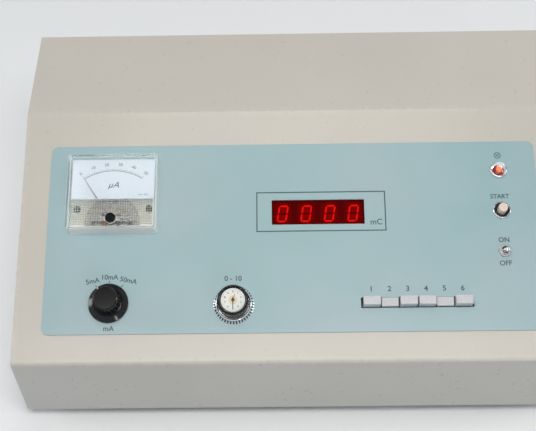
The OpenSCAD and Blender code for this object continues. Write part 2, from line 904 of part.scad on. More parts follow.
module turns_ring() {
    bore_r = bushing_d / 2 + hole_gap;
    well_r = turns_d / 2 + 0.5;
    color("#d5d8da") on_panel(turns_x, turns_s, stack) rotate_extrude() polygon([
        [bore_r, 0], [ring_d / 2, 0], [ring_d / 2, ring_floor],
        [ring_d / 2 - 0.9, ring_h - 0.6], [ring_d / 2 - 1.5, ring_h],
        [well_r + 0.4, ring_h], [well_r, ring_h - 0.4],
        [well_r, ring_floor], [bore_r, ring_floor]
    ]);
}

module turns_knob() {
    low = ring_floor + 0.3;
    lens_r = turns_d / 2 - rim_wall;
    ridges = 48;
    groove_d = 0.8;
    groove_low = ring_h + 0.4;
    color("#15161a") on_panel(turns_x, turns_s, stack) difference() {
        rotate_extrude() polygon([
            [0, low], [turns_d / 2, low], [turns_d / 2, turns_h - 1.4],
            [turns_d / 2 - 1.1, turns_h], [lens_r, turns_h], [lens_r, shelf_h], [0, shelf_h]
        ]);
        drill(knob_well_d, 0, bushing_h + ring_floor + 0.6 - past);
        drill(spindle_d + 2 * grip_gap, 0, shelf_h - 1.4 - past);
        for (i = [0:ridges - 1]) rotate([0, 0, i * 360 / ridges])
            translate([turns_d / 2 + 0.15, 0, groove_low])
                cylinder(h = turns_h - 1.8 - groove_low, d = groove_d);
    }
}

module turns_lens() {
    color("#eef3f5") on_panel(turns_x, turns_s, stack + turns_h - lens_t)
        cylinder(h = lens_t, d = turns_d - 2 * rim_wall - 2 * grip_gap);
}

module turns_face() {
    color("#f0f1ee") on_panel(turns_x, turns_s, stack + shelf_h + face_h)
        tube(face_d, face_bore, face_t);
}

// Short hand, which counts whole turns
module turns_hand() {
    reach = 0.28 * face_d;
    color("#2a2b2e") on_panel(turns_x, turns_s, stack + shelf_h + hand_h)
        rotate([0, 0, -turns_now * 36]) difference() {
            union() {
                cylinder(h = hand_t, d = hand_pin_d + 1.2);
                linear_extrude(hand_t) polygon([
                    [-0.5, 0], [0.5, 0], [0.35, reach - 1], [0, reach], [-0.35, reach - 1]
                ]);
            }
            drill(hand_pin_d + 0.3, 0, hand_t);
        }
}

// Long hand, which shows tenths of a turn, on a pin through the face
module fraction_hand() {
    reach = 0.42 * face_d;
    color("#2a2b2e") on_panel(turns_x, turns_s, stack + shelf_h) {
        cylinder(h = long_hand_h, d = hand_pin_d);
        translate([0, 0, long_hand_h]) rotate([0, 0, -turns_now * 360]) {
            cylinder(h = hand_t, d = hand_pin_d + 0.9);
            linear_extrude(hand_t) polygon([
                [-0.4, -1.8], [0.4, -1.8], [0.2, reach], [-0.2, reach]
            ]);
        }
    }
}

module turns_pot() {
    body_d = 22;
    body_h = 22;
    tag = [2, 6, 0.8];
    bushing_top = ring_floor + bushing_h - 1;
    color("#2b4f86") on_panel(turns_x, turns_s) difference() {
        union() {
            translate([0, 0, -sheet_t - body_h]) cylinder(h = body_h, d = body_d);
            translate([0, 0, -sheet_t]) cylinder(h = sheet_t + stack + bushing_top, d = bushing_d);
            for (x = [-6, 0, 6]) translate([x, -body_d / 2 - 1, -sheet_t - 19])
                block(tag[0], tag[1], tag[2]);
        }
        blind(spindle_d + 2 * run_gap, stack - 14.2, stack + bushing_top);
    }
}

module turns_spindle() {
    color("#b4b6ba") on_panel(turns_x, turns_s, stack - 14)
        cylinder(h = 14 + shelf_h - 1.6, d = spindle_d);
}

// Keys

function key_x(i) = keys_x + (i - (key_count + 1) / 2) * key_pitch;
function key_drop(i) = pressed[i - 1] * key_travel;

module key_cap(i) {
    color("#dcdfe2") on_panel(key_x(i), keys_s, cap_top - cap_h - key_drop(i)) difference() {
        rounded_plate(cap_w, cap_l, cap_h, 0.5);
        translate([0, 0, -past]) block(plunger[0] + 2 * plunger_fit,
            plunger[1] + 2 * plunger_fit, cap_socket_h + past);
    }
}

module key_plunger(i) {
    top = cap_top - cap_h + cap_socket_h - 0.2 - key_drop(i);
    low = key_frame_h - key_frame_t - key_switch_h + 4 + key_travel - key_drop(i);
    color("#e6e2d6") on_panel(key_x(i), keys_s, low) block(plunger[0], plunger[1], top - low);
}

// Room for a plunger through the frame or a switch
module plunger_way(h) {
    translate([0, 0, -past]) block(plunger[0] + 2 * plunger_gap,
        plunger[1] + 2 * plunger_gap, h + 2 * past);
}

// Steel channel that carries the switches, hung from the sheet on two posts
module key_frame() {
    edge_h = 5;
    edge_y = (key_frame_l - key_frame_t) / 2;
    color("#a9acb0") on_panel(keys_x, keys_s, key_frame_h - key_frame_t) {
        difference() {
            block(key_frame_w, key_frame_l, key_frame_t);
            for (i = [1:key_count]) translate([key_x(i) - keys_x, 0, 0])
                plunger_way(key_frame_t);
        }
        for (side = [-1, 1]) {
            translate([0, side * edge_y, 0]) block(key_frame_w, key_frame_t, edge_h);
            translate([side * (key_frame_w / 2 - 4), 0, key_frame_t])
                cylinder(h = -key_frame_h - sheet_t, d = spacer_d);
        }
    }
}

module key_switches() {
    body = [key_pitch - 1.2, 12];
    tag = [1.2, 4.4, 0.6];
    color("#d9d4c4") for (i = [1:key_count])
        on_panel(key_x(i), keys_s, key_frame_h - key_frame_t - key_switch_h) difference() {
            union() {
                block(body[0], body[1], key_switch_h);
                for (side = [-1, 1]) for (z = [6, 14, 22])
                    translate([0, side * (body[1] + tag[1]) / 2, z])
                        block(tag[0], tag[1] + 0.4, tag[2]);
            }
            plunger_way(key_switch_h);
        }
}

// Sliding strip that lets one key go when the next is pressed
module latch_bar() {
    bar = [key_row_w + 6, 3, 1];
    notch = [3, 0.5];
    gap = 0.8; // from the plungers
    color("#c2c4c7") on_panel(keys_x, keys_s + plunger[1] / 2 + gap, key_frame_h + run_gap)
        difference() {
            translate([0, bar[1] / 2, 0]) block(bar[0], bar[1], bar[2]);
            for (i = [1:key_count]) translate([key_x(i) - keys_x - 1, -past, -past])
                cube([notch[0], past + notch[1], 2 * past]);
        }
}

// Switch column

module push_bezel() {
    bore_r = push_d / 2 + 0.7;
    barrel_r = push_barrel_d / 2;
    outer_r = bezel_d / 2;
    color("#d3d5d6") on_panel(column_x, push_s, stack) rotate_extrude() polygon([
        [bore_r, -barrel_l], [barrel_r, -barrel_l], [barrel_r, 0],
        [outer_r, 0], [outer_r, 1.2], [outer_r - 0.6, 2],
        [outer_r - 1.1, 2], [outer_r - 1.7, 0.4], [bore_r, 0.4]
    ]);
}

module push_button() {
    color("#e3d9cf") on_panel(column_x, push_s, stack) rotate_extrude() polygon([
        [0, push_low], [push_d / 2, push_low], [push_d / 2, push_h - 0.5],
        [push_d / 2 - 0.5, push_h], [0, push_h]
    ]);
}

module push_switch() {
    floor_h = push_low - push_travel - 0.3;
    body = [14, 14];
    tag = [0.8, 2, 5];
    low = floor_h - 16;
    color("#2a2b2e") on_panel(column_x, push_s, stack) {
        difference() {
            translate([0, 0, low]) block(body[0], body[1], -barrel_l - low);
            blind(push_d + 2 * loose_gap, floor_h, -barrel_l);
        }
        for (x = [-4, 4]) for (y = [-4, 4]) translate([x, y, low - tag[2]])
            block(tag[0], tag[1], tag[2]);
    }
}

module toggle_switch() {
    body = [8, 13, 11];
    pin = [1.2, 1.2, 4];
    color("#b5282a") on_panel(column_x, toggle_s) difference() {
        union() {
            translate([0, 0, -sheet_t - body[2]]) block(body[0], body[1], body[2]);
            translate([0, 0, -sheet_t])
                cylinder(h = sheet_t + stack + toggle_bushing_h, d = toggle_bushing_d);
            for (y = [-4.7, 0, 4.7]) translate([0, y, -sheet_t - body[2] - pin[2]])
                block(pin[0], pin[1], pin[2]);
        }
        blind(toggle_well_d, stack - 4, stack + toggle_bushing_h);
        translate([0, 0, stack + toggle_pivot_h])
            cylinder(h = toggle_bushing_h - toggle_pivot_h + 0.01, d1 = toggle_well_d, d2 = 5.2);
        translate([0, 0, stack + toggle_pivot_h])
            cross_pin(toggle_pin_d + 2 * run_gap, toggle_pin_l + 2 * run_gap);
    }
}

// A round pin along X through the middle
module cross_pin(d, length) {
    rotate([0, 90, 0]) cylinder(h = length, d = d, center = true);
}

module toggle_lever() {
    neck_r = 1.1;
    tip_r = 1.7;
    tail_l = 3.4;
    ball_d = 3.9;
    color("#d8dadb") on_panel(column_x, toggle_s, stack + toggle_pivot_h)
        rotate([toggle_lean, 0, 0]) {
            translate([0, 0, -tail_l]) cylinder(h = tail_l, r1 = 0.9, r2 = neck_r);
            sphere(d = ball_d);
            cross_pin(toggle_pin_d, toggle_pin_l);
            cylinder(h = lever_l - tip_r, r1 = neck_r, r2 = tip_r);
            translate([0, 0, lever_l - tip_r]) sphere(r = tip_r);
        }
}

module indicator_bezel() {
    bore_r = led_d / 2 + 0.15;
    barrel_r = led_barrel_d / 2;
    outer_r = bezel_d / 2;
    color("#d3d5d6") on_panel(column_x, led_s, stack) rotate_extrude() polygon([
        [bore_r, -barrel_l], [barrel_r, -barrel_l], [barrel_r, 0], [outer_r, 0],
        [outer_r, 0.6], [outer_r - 0.9, 2.2], [outer_r - 1.3, 2.3],
        [bore_r + 0.5, 0.9], [bore_r, 0.9]
    ]);
}

module indicator_led() {
    dome_h = 1.2; // middle of the dome above the plate
    low = -7;
    lead = [0.5, 0.5, 11.5];
    color("#ff5a1f") on_panel(column_x, led_s, stack) {
        translate([0, 0, low]) cylinder(h = dome_h - low, d = led_d);
        translate([0, 0, dome_h]) sphere(d = led_d);
        for (x = [-1.27, 1.27]) translate([x, 0, low - lead[2] + 0.5])
            block(lead[0], lead[1], lead[2]);
    }
}

// Electronics in the case

module main_board() {
    chip = [9, 19, 4];
    chip_pitch = 22;
    chip_row = 35;
    relay = [12, 20, 14];
    capacitor = [12, 18];
    color("#2f6b3c") in_case(board_at[0], board_at[1], sheet_t + spacer_h) {
        difference() {
            rounded_plate(board[0], board[1], board_t, 2);
            for (p = board_screws) translate([p[0], p[1], 0])
                drill(screw_d + 2 * hole_gap, 0, board_t);
        }
        translate([0, 0, board_t]) {
            for (row = [-1:1]) for (i = [0:5])
                translate([-board[0] / 2 + 33 + i * chip_pitch, row * chip_row - 5, 0])
                    block(chip[0], chip[1], chip[2]);
            for (i = [0:3])
                translate([board[0] / 2 - 26, (i - 2) * (capacitor[0] + 8), 0])
                    cylinder(h = capacitor[1], d = capacitor[0]);
            for (i = [-1, 0]) translate([board[0] / 2 - 46, i * (relay[1] + 10), 0])
                block(relay[0], relay[1], relay[2]);
        }
    }
}

module transformer() {
    bobbin_inset = 12;
    bobbin_out = 11;
    bobbin_gap = 8;
    color("#6f6a62") in_case(transformer_at[0], transformer_at[1], sheet_t) {
        block(core[0], core[1], core[2]);
        translate([0, 0, bobbin_gap])
            block(core[0] - 2 * bobbin_inset, core[1] + 2 * bobbin_out, core[2] - 2 * bobbin_gap);
        for (side = [-1, 1]) translate([side * (core[0] + lug[0]) / 2, 0, 0]) difference() {
            block(lug[0], lug[1], lug[2]);
            drill(chassis_d + 2 * hole_gap, 0, lug[2]);
        }
    }
}

// Rear connectors

module mains_inlet() {
    bevel = 4;
    w = inlet_recess[0] / 2;
    l = inlet_recess[1] / 2;
    floor_h = inlet_flange[2] - inlet_depth;
    body_h = inlet_depth + 1;
    pins = [[-7, -2], [7, -2], [0, 2.4]];
    pin = [2, 4];
    tab = [0.8, 4.8, 7];
    color("#1b1c1e") on_rear(inlet_at) {
        difference() {
            union() {
                rounded_plate(inlet_flange[0], inlet_flange[1], inlet_flange[2], 2);
                translate([0, 0, -body_h]) block(inlet_body[0], inlet_body[1], body_h);
            }
            translate([0, 0, floor_h]) linear_extrude(inlet_depth + past) polygon([
                [-w, -l], [w, -l], [w, l - bevel], [w - bevel, l], [-w + bevel, l], [-w, l - bevel]
            ]);
        }
        for (p = pins) {
            translate([p[0], p[1], floor_h]) block(pin[0], pin[1], inlet_pin_h);
            translate([p[0], p[1], -body_h - tab[2]]) block(tab[0], tab[1], tab[2]);
        }
    }
}

module mains_switch() {
    floor_h = -4;
    tab = [0.8, 4.8, 7];
    color("#1b1c1e") on_rear(switch_at) {
        difference() {
            union() {
                rounded_plate(switch_flange[0], switch_flange[1], switch_flange[2], 1);
                translate([0, 0, -switch_body[2]])
                    block(switch_body[0], switch_body[1], switch_body[2]);
            }
            translate([0, 0, floor_h]) block(rocker[0] + 2 * loose_gap,
                rocker[1] + 4 * loose_gap, switch_flange[2] - floor_h + past);
            cross_pin(trunnion_d + 2 * run_gap, trunnion_span + 2 * run_gap);
        }
        for (y = [-5, 5]) translate([0, y, -switch_body[2] - tab[2]])
            block(tab[0], tab[1], tab[2]);
    }
}

// Rocker that turns about a line across the panel's face, pressed at its upper end
module mains_rocker() {
    half = rocker[1] / 2;
    low = -2;
    color("#202124") on_rear(switch_at) rotate([-rocker_lean, 0, 0])
        translate([-rocker[0] / 2, 0, 0]) rotate([90, 0, 90]) linear_extrude(rocker[0]) polygon([
            [-half, low], [half, low], [half, rocker_tip], [0, rocker_tip - 1.2],
            [-half, rocker_tip]
        ]);
    color("#202124") on_rear(switch_at) cross_pin(trunnion_d, trunnion_span);
}

module fuse_holder() {
    nut_t = 3;
    color("#1b1c1e") on_rear(fuse_at) difference() {
        union() {
            cylinder(h = fuse_flange_h, d = 17);
            translate([0, 0, -fuse_l]) cylinder(h = fuse_l, d = fuse_body_d);
            translate([0, 0, -sheet_t - nut_t]) hexagon(17, nut_t);
        }
        blind(fuse_bore_d, -fuse_l + 2, fuse_flange_h);
    }
}

module fuse_cap() {
    head_h = 8;
    grooves = 12;
    slot = [10, 1.4, 1.2];
    top = fuse_flange_h + run_gap + head_h;
    color("#232427") on_rear(fuse_at) {
        difference() {
            translate([0, 0, fuse_flange_h + run_gap]) cylinder(h = head_h, d1 = 14.5, d2 = 13);
            translate([0, 0, top - slot[2]]) block(slot[0], slot[1], past);
            for (i = [0:grooves - 1]) rotate([0, 0, i * 360 / grooves])
                translate([7.4, 0, fuse_flange_h + 1]) cylinder(h = head_h, d = 1.4);
        }
        translate([0, 0, -12]) cylinder(h = 12 + fuse_flange_h + 1, d = fuse_bore_d - 2 * run_gap);
    }
}

module electrode_sockets() {
    back = socket_depth - socket_head_h + 4;
    nut_t = 2.5;
    color("#a3201f") for (p = sockets) on_rear(p) difference() {
        union() {
            cylinder(h = socket_head_h, d1 = 13, d2 = 12);
            translate([0, 0, -back]) cylinder(h = back, d = socket_thread_d);
            translate([0, 0, -sheet_t - nut_t]) hexagon(10, nut_t);
        }
        blind(socket_bore, socket_head_h - socket_depth, socket_head_h);
    }
}

top_cover();
base_pan();
rear_panel();
rubber_feet();
chassis_screws();
machine_screws();
control_plate();
meter_cover();
meter_housing();
meter_dial();
meter_movement();
meter_coil();
meter_needle();
meter_zero_screw();
display_filter();
display_digits();
display_board();
board_spacers();
range_knob();
range_spindle();
range_switch();
panel_nuts();
turns_ring();
turns_knob();
turns_lens();
turns_face();
turns_hand();
fraction_hand();
turns_pot();
turns_spindle();
key_cap(1);  // key_cap_1
key_cap(2);  // key_cap_2
key_cap(3);  // key_cap_3
key_cap(4);  // key_cap_4
key_cap(5);  // key_cap_5
key_cap(6);  // key_cap_6
key_plunger(1);  // key_plunger_1
key_plunger(2);  // key_plunger_2
key_plunger(3);  // key_plunger_3
key_plunger(4);  // key_plunger_4
key_plunger(5);  // key_plunger_5
key_plunger(6);  // key_plunger_6
key_frame();
key_switches();
latch_bar();
push_bezel();
push_button();
push_switch();
toggle_switch();
toggle_lever();
indicator_bezel();
indicator_led();
main_board();
transformer();
mains_inlet();
mains_switch();
mains_rocker();
fuse_holder();
fuse_cap();
electrode_sockets();
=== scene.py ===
# %% [markdown]
# # Dressing a bench coulometer
# A coulometer measures the charge that passes through an electrolysis cell. This one is a desk console: a
# folded steel case with a blue-grey control plate, a pointer meter, a red display, two dials, a row of keys
# and a column of switches. Its solids come from a CAD model. This lesson keeps every solid where the CAD
# has it and adds what a camera sees: rounded edges, paint, print, clear plastic, glow and light.
#
# The case stands on z = 0 with its front towards -Y. Lengths are written in millimetres, and `MM` turns
# them into Blender's metres.

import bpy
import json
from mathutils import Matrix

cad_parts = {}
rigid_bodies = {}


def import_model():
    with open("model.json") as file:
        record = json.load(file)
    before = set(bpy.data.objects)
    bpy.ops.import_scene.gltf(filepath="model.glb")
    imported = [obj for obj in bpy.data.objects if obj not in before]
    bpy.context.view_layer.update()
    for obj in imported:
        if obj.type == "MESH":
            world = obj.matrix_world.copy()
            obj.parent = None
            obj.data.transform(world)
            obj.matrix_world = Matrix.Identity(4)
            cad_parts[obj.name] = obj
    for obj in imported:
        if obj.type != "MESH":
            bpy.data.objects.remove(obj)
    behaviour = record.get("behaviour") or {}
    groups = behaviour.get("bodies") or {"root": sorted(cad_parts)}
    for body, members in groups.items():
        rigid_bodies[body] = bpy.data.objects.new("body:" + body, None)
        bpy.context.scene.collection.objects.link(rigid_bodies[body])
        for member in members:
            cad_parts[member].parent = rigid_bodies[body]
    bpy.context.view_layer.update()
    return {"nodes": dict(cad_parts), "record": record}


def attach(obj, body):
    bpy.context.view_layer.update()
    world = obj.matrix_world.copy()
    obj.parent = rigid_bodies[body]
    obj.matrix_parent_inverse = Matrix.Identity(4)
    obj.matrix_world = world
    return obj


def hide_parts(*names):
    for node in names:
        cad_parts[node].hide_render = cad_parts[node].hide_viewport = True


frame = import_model()

# %% Modules, the unit and the record's own names
import json
import math
import bmesh
import bpy
from mathutils import Matrix, Vector

MM = 0.001
nodes = frame["nodes"]
record = frame["record"]
body_with = {n: body for body, held in record["behaviour"]["bodies"].items() for n in held}
slot_with = {row["node"]: row["material_slot"] for row in record["subparts"]}
scene = bpy.context.scene


def put(name, data):
    """A new object in the scene, at the origin."""
    made = bpy.data.objects.new(name, data)
    scene.collection.objects.link(made)
    return made


print("slots", len(set(slot_with.values())))

# %% [markdown]
# ## Camera
# The photograph was taken with a long lens from above the front edge. Fitting a pinhole to the case's
# folds gave the camera's place and its three angles, so they are typed here as measured. The right side of
# the case runs out of the picture, as it does in the photograph. A camera could also be aimed with a Track
# To constraint, but a fitted one also has a small roll, which a constraint would take away.

# %% Camera
FRAME_W = 536
FOCAL = 1091.2  # in pixels of the frame's width
SENSOR = 36.0
PITCH, YAW, ROLL = math.radians(52.30), math.radians(1.36), math.radians(-1.77)
CAMERA_PLACE = Vector((-6.4, -505.4, 723.8)) * MM

yawed = Matrix.Rotation(YAW, 3, "Z")
ahead = yawed @ Vector((0, math.cos(PITCH), -math.sin(PITCH)))
level = yawed @ Vector((1, 0, 0))
above = level.cross(ahead)
right = math.cos(ROLL) * level + math.sin(ROLL) * above
upward = math.cos(ROLL) * above - math.sin(ROLL) * level

lens = bpy.data.cameras.new("console_camera")
lens.sensor_width = SENSOR
lens.lens = FOCAL * SENSOR / FRAME_W
lens.clip_start, lens.clip_end = 0.01, 20
camera = put("console_camera", lens)
looking = Matrix((right, upward, -ahead)).transposed().to_4x4()
camera.matrix_world = Matrix.Translation(CAMERA_PLACE) @ looking
scene.camera = camera
print("lens %.1f mm" % lens.lens)

# %% [markdown]
# ## Where things go
# Half of this object stands on a slope. A piece for the slope is drawn flat, with X to the right, Y up the
# slope and Z out of it, and one matrix then carries its mesh there. The objects themselves stay at the
# origin, unturned, so Object coordinates in a material mean the same place for every piece.

# %% Main sizes of the case
HALF_WIDTH = 195
FRONT_Y, REAR_Y = -130, 115
UNDERSIDE = 10  # the case's height above the floor
RISE, DEPTH = 60, 178  # how far the slope climbs, and over what depth
SLOPE = math.atan2(RISE, DEPTH)
SLOPE_RUN = math.hypot(RISE, DEPTH)
FOLD = Vector((0, FRONT_Y, 74)) * MM
PLATE = 1.0  # the control plate's face above the sheet
print("slope %.2f degrees" % math.degrees(SLOPE))

# %% Places on the slope and on the rear panel
def on_slope(x=0, s=0, h=0, turn=0):
    """Carries a flat drawing to x along the fold, s up the slope and h above the sheet."""
    return (
        Matrix.Translation(FOLD)
        @ Matrix.Rotation(SLOPE, 4, "X")
        @ Matrix.Translation(Vector((x, s, h)) * MM)
        @ Matrix.Rotation(math.radians(turn), 4, "Z")
    )


def from_slope(point, *place):
    """Where a point lies in the slope's own x, s and h, in millimetres, seen from a place on it."""
    return (on_slope(*place).inverted() @ Vector(point)) / MM


def on_rear(x, z):
    """Carries a flat drawing to the rear panel, z above the case's underside."""
    return (
        Matrix.Translation(Vector((x, REAR_Y, UNDERSIDE + z)) * MM)
        @ Matrix.Rotation(math.pi, 4, "Z")
        @ Matrix.Rotation(math.pi / 2, 4, "X")
    )


# %% [markdown]
# ## A bench for node trees
# The world, each finish and each rule of this lesson is a tree of nodes. Built by hand, every node, setting
# and link takes a line of its own. This class does them in one call, and nested calls read like a formula.

# %% The Wiring class
class Wiring:
    """A tree of nodes, and the moves that every tree here needs."""

    def __init__(self, tree):
        self.tree = tree

    def feed(self, socket, value):
        """Links a socket to another one, or sets its value."""
        if isinstance(value, bpy.types.NodeSocket):
            self.tree.links.new(value, socket)
        elif value is not None:
            socket.default_value = value

    def node(self, kind, *values, settings=(), **inputs):
        """A new node: values go to its inputs in order, and settings are its own properties."""
        made = self.tree.nodes.new(kind)
        for label, value in settings:
            setattr(made, label, value)
        for socket, value in zip(made.inputs, values):
            self.feed(socket, value)
        for label, value in inputs.items():
            self.feed(made.inputs[label.replace("_", " ")], value)
        return made

    def sum(self, action, *values):
        """One Math node."""
        return self.node("ShaderNodeMath", *values, settings=[("operation", action)]).outputs[0]


# %% [markdown]
# ## Studio
# A plain pale floor and six soft lamps. The large lamp stands in front and above, so the slope is the
# brightest face, the flat top a little darker and the upright front darkest, as in the photograph. A strip
# at the ceiling gives the enamel its sheen, one lamp lights the rear, and three small ones at the sides put
# white glints on chrome and glossy black. The world gives a low even light. Rays from the camera, and rays
# that metal or clear plastic sends on, see it as a pale backdrop with a darker ceiling instead.

# %% Lamps
WARM = (1.0, 0.97, 0.925)
WHITE = (1.0, 1.0, 1.0)


def softbox(name, place, target, size, watts, tone):
    """A rectangular lamp that faces a target."""
    lamp = bpy.data.lights.new(name, "AREA")
    lamp.shape = "RECTANGLE"
    lamp.size, lamp.size_y = size
    lamp.energy = watts
    lamp.color = tone
    box = put(name, lamp)
    box.visible_camera = False
    away = Vector(place) - Vector(target)
    box.matrix_world = Matrix.Translation(place) @ away.to_track_quat("Z", "Y").to_matrix().to_4x4()


softbox("front_softbox", (0.0, -0.36, 1.0), (0, -0.02, 0.09), (0.85, 0.36), 4.9, WARM)
softbox("ceiling_strip", (0.0, 0.2, 1.6), (0, 0.0, 0.1), (0.7, 0.2), 2.3, WARM)
softbox("rear_softbox", (0.3, 1.3, 0.45), (0, 0.1, 0.1), (1.2, 0.5), 3.0, (1.0, 0.99, 0.98))
softbox("left_window", (-1.1, 0.12, 0.33), (-0.1, 0, 0.1), (0.35, 0.35), 2.5, (0.97, 0.985, 1.0))
softbox("right_window", (1.1, 0.0, 0.4), (0.1, 0, 0.1), (0.3, 0.35), 2.0, WHITE)
softbox("strip_lamp", (0.32, -1.04, 0.42), (-0.1, -0.09, 0.09), (0.08, 0.2), 0.9, WHITE)

# %% World
BACKDROP = (0.88, 0.91, 0.94, 1)
world = bpy.data.worlds.new("pale_room")
world.use_nodes = True
scene.world = world
sky = Wiring(world.node_tree)
sky.tree.nodes.clear()
height = sky.node("ShaderNodeSeparateXYZ", sky.node("ShaderNodeTexCoord").outputs["Generated"])
fade = sky.node(
    "ShaderNodeMapRange", height.outputs["Z"], 0.45, 0.9, 1.0, 0.1,
    settings=[("interpolation_type", "SMOOTHSTEP")],
)
room = sky.node("ShaderNodeBackground", Color=(0.92, 0.97, 1.0, 1), Strength=0.27)
backdrop = sky.node("ShaderNodeBackground", Color=BACKDROP, Strength=fade.outputs[0])
ray = sky.node("ShaderNodeLightPath").outputs
sent_on = sky.sum("ADD", ray["Is Glossy Ray"], ray["Is Transmission Ray"])
seen = sky.sum("MINIMUM", sky.sum("ADD", ray["Is Camera Ray"], sent_on), 1.0)
either = sky.node("ShaderNodeMixShader", seen, room.outputs[0], backdrop.outputs[0])
sky.node("ShaderNodeOutputWorld", either.outputs[0])
scene.view_settings.view_transform = "Standard"
print("world nodes", len(sky.tree.nodes))

# %% [markdown]
# ## A bench for finishes
# Every finish here is one shader whose colour, gloss and relief are disturbed by noise at the scale of the
# real thing: orange peel in enamel is about a millimetre across, the tooth of a moulding a tenth of that.
# The first class below makes the patterns. The second holds one material and the few moves that the
# finishes share. Image textures would need files, and they would also stretch over these solids, which
# have no UV maps. Noise on Object coordinates needs neither.

# %% Colour
def ink(red, green, blue):
    """Linear colour from the 0-255 values that a picture shows."""
    steps = (v / 255 for v in (red, green, blue))
    return tuple(v / 12.92 if v <= 0.04045 else ((v + 0.055) / 1.055) ** 2.4 for v in steps)


# %% Patterns
class Pattern(Wiring):
    """Noise, ranges and mixes on the Object coordinates of a piece."""

    def __init__(self, tree):
        super().__init__(tree)
        self.place = self.node("ShaderNodeTexCoord").outputs["Object"]

    def noise(self, per_mm, detail=2.0, stretch=None):
        """Noise with this many waves to the millimetre, stretched along the axes if asked."""
        where = self.place
        if stretch:
            where = self.node("ShaderNodeMapping", Vector=where, Scale=stretch).outputs[0]
        made = self.node("ShaderNodeTexNoise", Vector=where, Scale=per_mm / MM, Detail=detail)
        return made.outputs["Fac"]

    def between(self, source, low, high, start=0.3, end=0.7):
        """Maps start..end of a source to low..high, without going past them."""
        return self.node("ShaderNodeMapRange", source, start, end, low, high).outputs[0]

    def mixed(self, mask, first, second):
        """A colour that goes from the first to the second as the mask rises."""
        made = self.node("ShaderNodeMix", mask, settings=[("data_type", "RGBA")])
        for number, colour in ((6, first), (7, second)):
            ready = isinstance(colour, bpy.types.NodeSocket)
            self.feed(made.inputs[number], colour if ready else (*colour, 1))
        return made.outputs[2]

    def slope_place(self):
        """Object coordinates turned so that Y runs up the slope and Z out of it."""
        return self.node(
            "ShaderNodeMapping", Vector=self.place, Location=FOLD, Rotation=(SLOPE, 0, 0),
            settings=[("vector_type", "TEXTURE")],
        ).outputs[0]

    def axes(self, place):
        """The three coordinates of a place, as sockets."""
        return self.node("ShaderNodeSeparateXYZ", Vector=place).outputs

    def length(self, across, along):
        """The length of a step from its two parts."""
        squares = self.sum("MULTIPLY_ADD", across, across, self.sum("MULTIPLY", along, along))
        return self.sum("SQRT", squares)


# %% The Finish class
class Finish(Pattern):
    """One material: a Principled shader and the nodes that disturb it."""

    def __init__(self, name, colour, rough, **plain):
        self.material = bpy.data.materials.new(name)
        self.material.use_nodes = True
        super().__init__(self.material.node_tree)
        self.shader = self.tree.nodes["Principled BSDF"]
        self.colour = colour
        for label, value in {"Base_Color": (*colour, 1), "Roughness": rough, **plain}.items():
            self.feed(self.shader.inputs[label.replace("_", " ")], value)
        print("finish", name)

    def blend(self, mask, other, base=None):
        """Mixes another colour into the base colour where the mask is 1."""
        made = self.mixed(mask, self.colour if base is None else base, other)
        self.feed(self.shader.inputs["Base Color"], made)
        return made

    def gloss(self, source, low, high):
        """Lets the roughness follow a source."""
        self.feed(self.shader.inputs["Roughness"], self.between(source, low, high))

    def relief(self, source, height, strength=1.0):
        """Bumps this many millimetres high."""
        made = self.node("ShaderNodeBump", Height=source, Distance=height * MM, Strength=strength)
        self.feed(self.shader.inputs["Normal"], made.outputs[0])

    def glow(self, colour, strength):
        """Makes the surface its own light."""
        self.feed(self.shader.inputs["Emission Color"], colour)
        self.feed(self.shader.inputs["Emission Strength"], strength)

    def share_with(self, other, share):
        """Gives a share of the surface to another shader."""
        both = self.node("ShaderNodeMixShader", share, self.shader.outputs[0], other.outputs[0])
        self.feed(self.tree.nodes["Material Output"].inputs["Surface"], both.outputs[0])


# %% A finish with three kinds of wear
def worn(name, tone, rough, patches, other, sheen, tooth=None, drawn=None, **plain):
    """A finish in which another tone, the sheen and the tooth come and go by noise.

    patches are waves per millimetre, detail and the most of the other tone. sheen is waves, detail and
    the range of roughness, and drawn stretches it. tooth is waves, detail, height and strength.
    """
    made = Finish(name, ink(*tone), rough, **plain)
    waves, detail, most = patches
    made.blend(made.between(made.noise(waves, detail), 0, most), ink(*other))
    waves, detail, low, high = sheen
    made.gloss(made.noise(waves, detail, drawn), low, high)
    if tooth:
        waves, detail, height, strength = tooth
        made.relief(made.noise(waves, detail), height, strength)
    return made


# %% [markdown]
# ## A bench for pieces
# A CAD solid arrives as loose triangles with knife edges. Real edges are never that sharp, and it is the
# rounded edge that catches the light. `dressed` copies a solid, merges its doubled points, melts the
# triangles of flat faces together and rounds the hard edges with a Bevel. Faces are then shaded smooth
# except over sharp corners, and a Weighted Normal keeps the large ones flat. The copy stands for its CAD
# node, which stays hidden. Rounding in CAD would work too, but it would add thousands of small faces to
# solids that are also used for collision.

# %% Plain meshes from modifiers and shapes
def as_mesh(holder):
    """An object's mesh as its modifiers leave it. The object is then removed."""
    bpy.context.view_layer.update()
    shown = holder.evaluated_get(bpy.context.evaluated_depsgraph_get())
    result = bpy.data.meshes.new_from_object(shown)
    bpy.data.objects.remove(holder)
    return result


def baked(mesh, *modifiers):
    """The mesh as the modifiers leave it. Each modifier is its type and its settings."""
    holder = put("bench", mesh)
    for kind, settings in modifiers:
        made = holder.modifiers.new(kind.title(), kind)
        for label, value in settings.items():
            setattr(made, label, value)
    return as_mesh(holder)


def poured(shape, name):
    """A plain mesh from an editable shape, which is freed."""
    mesh = bpy.data.meshes.new(name)
    shape.to_mesh(mesh)
    shape.free()
    return mesh


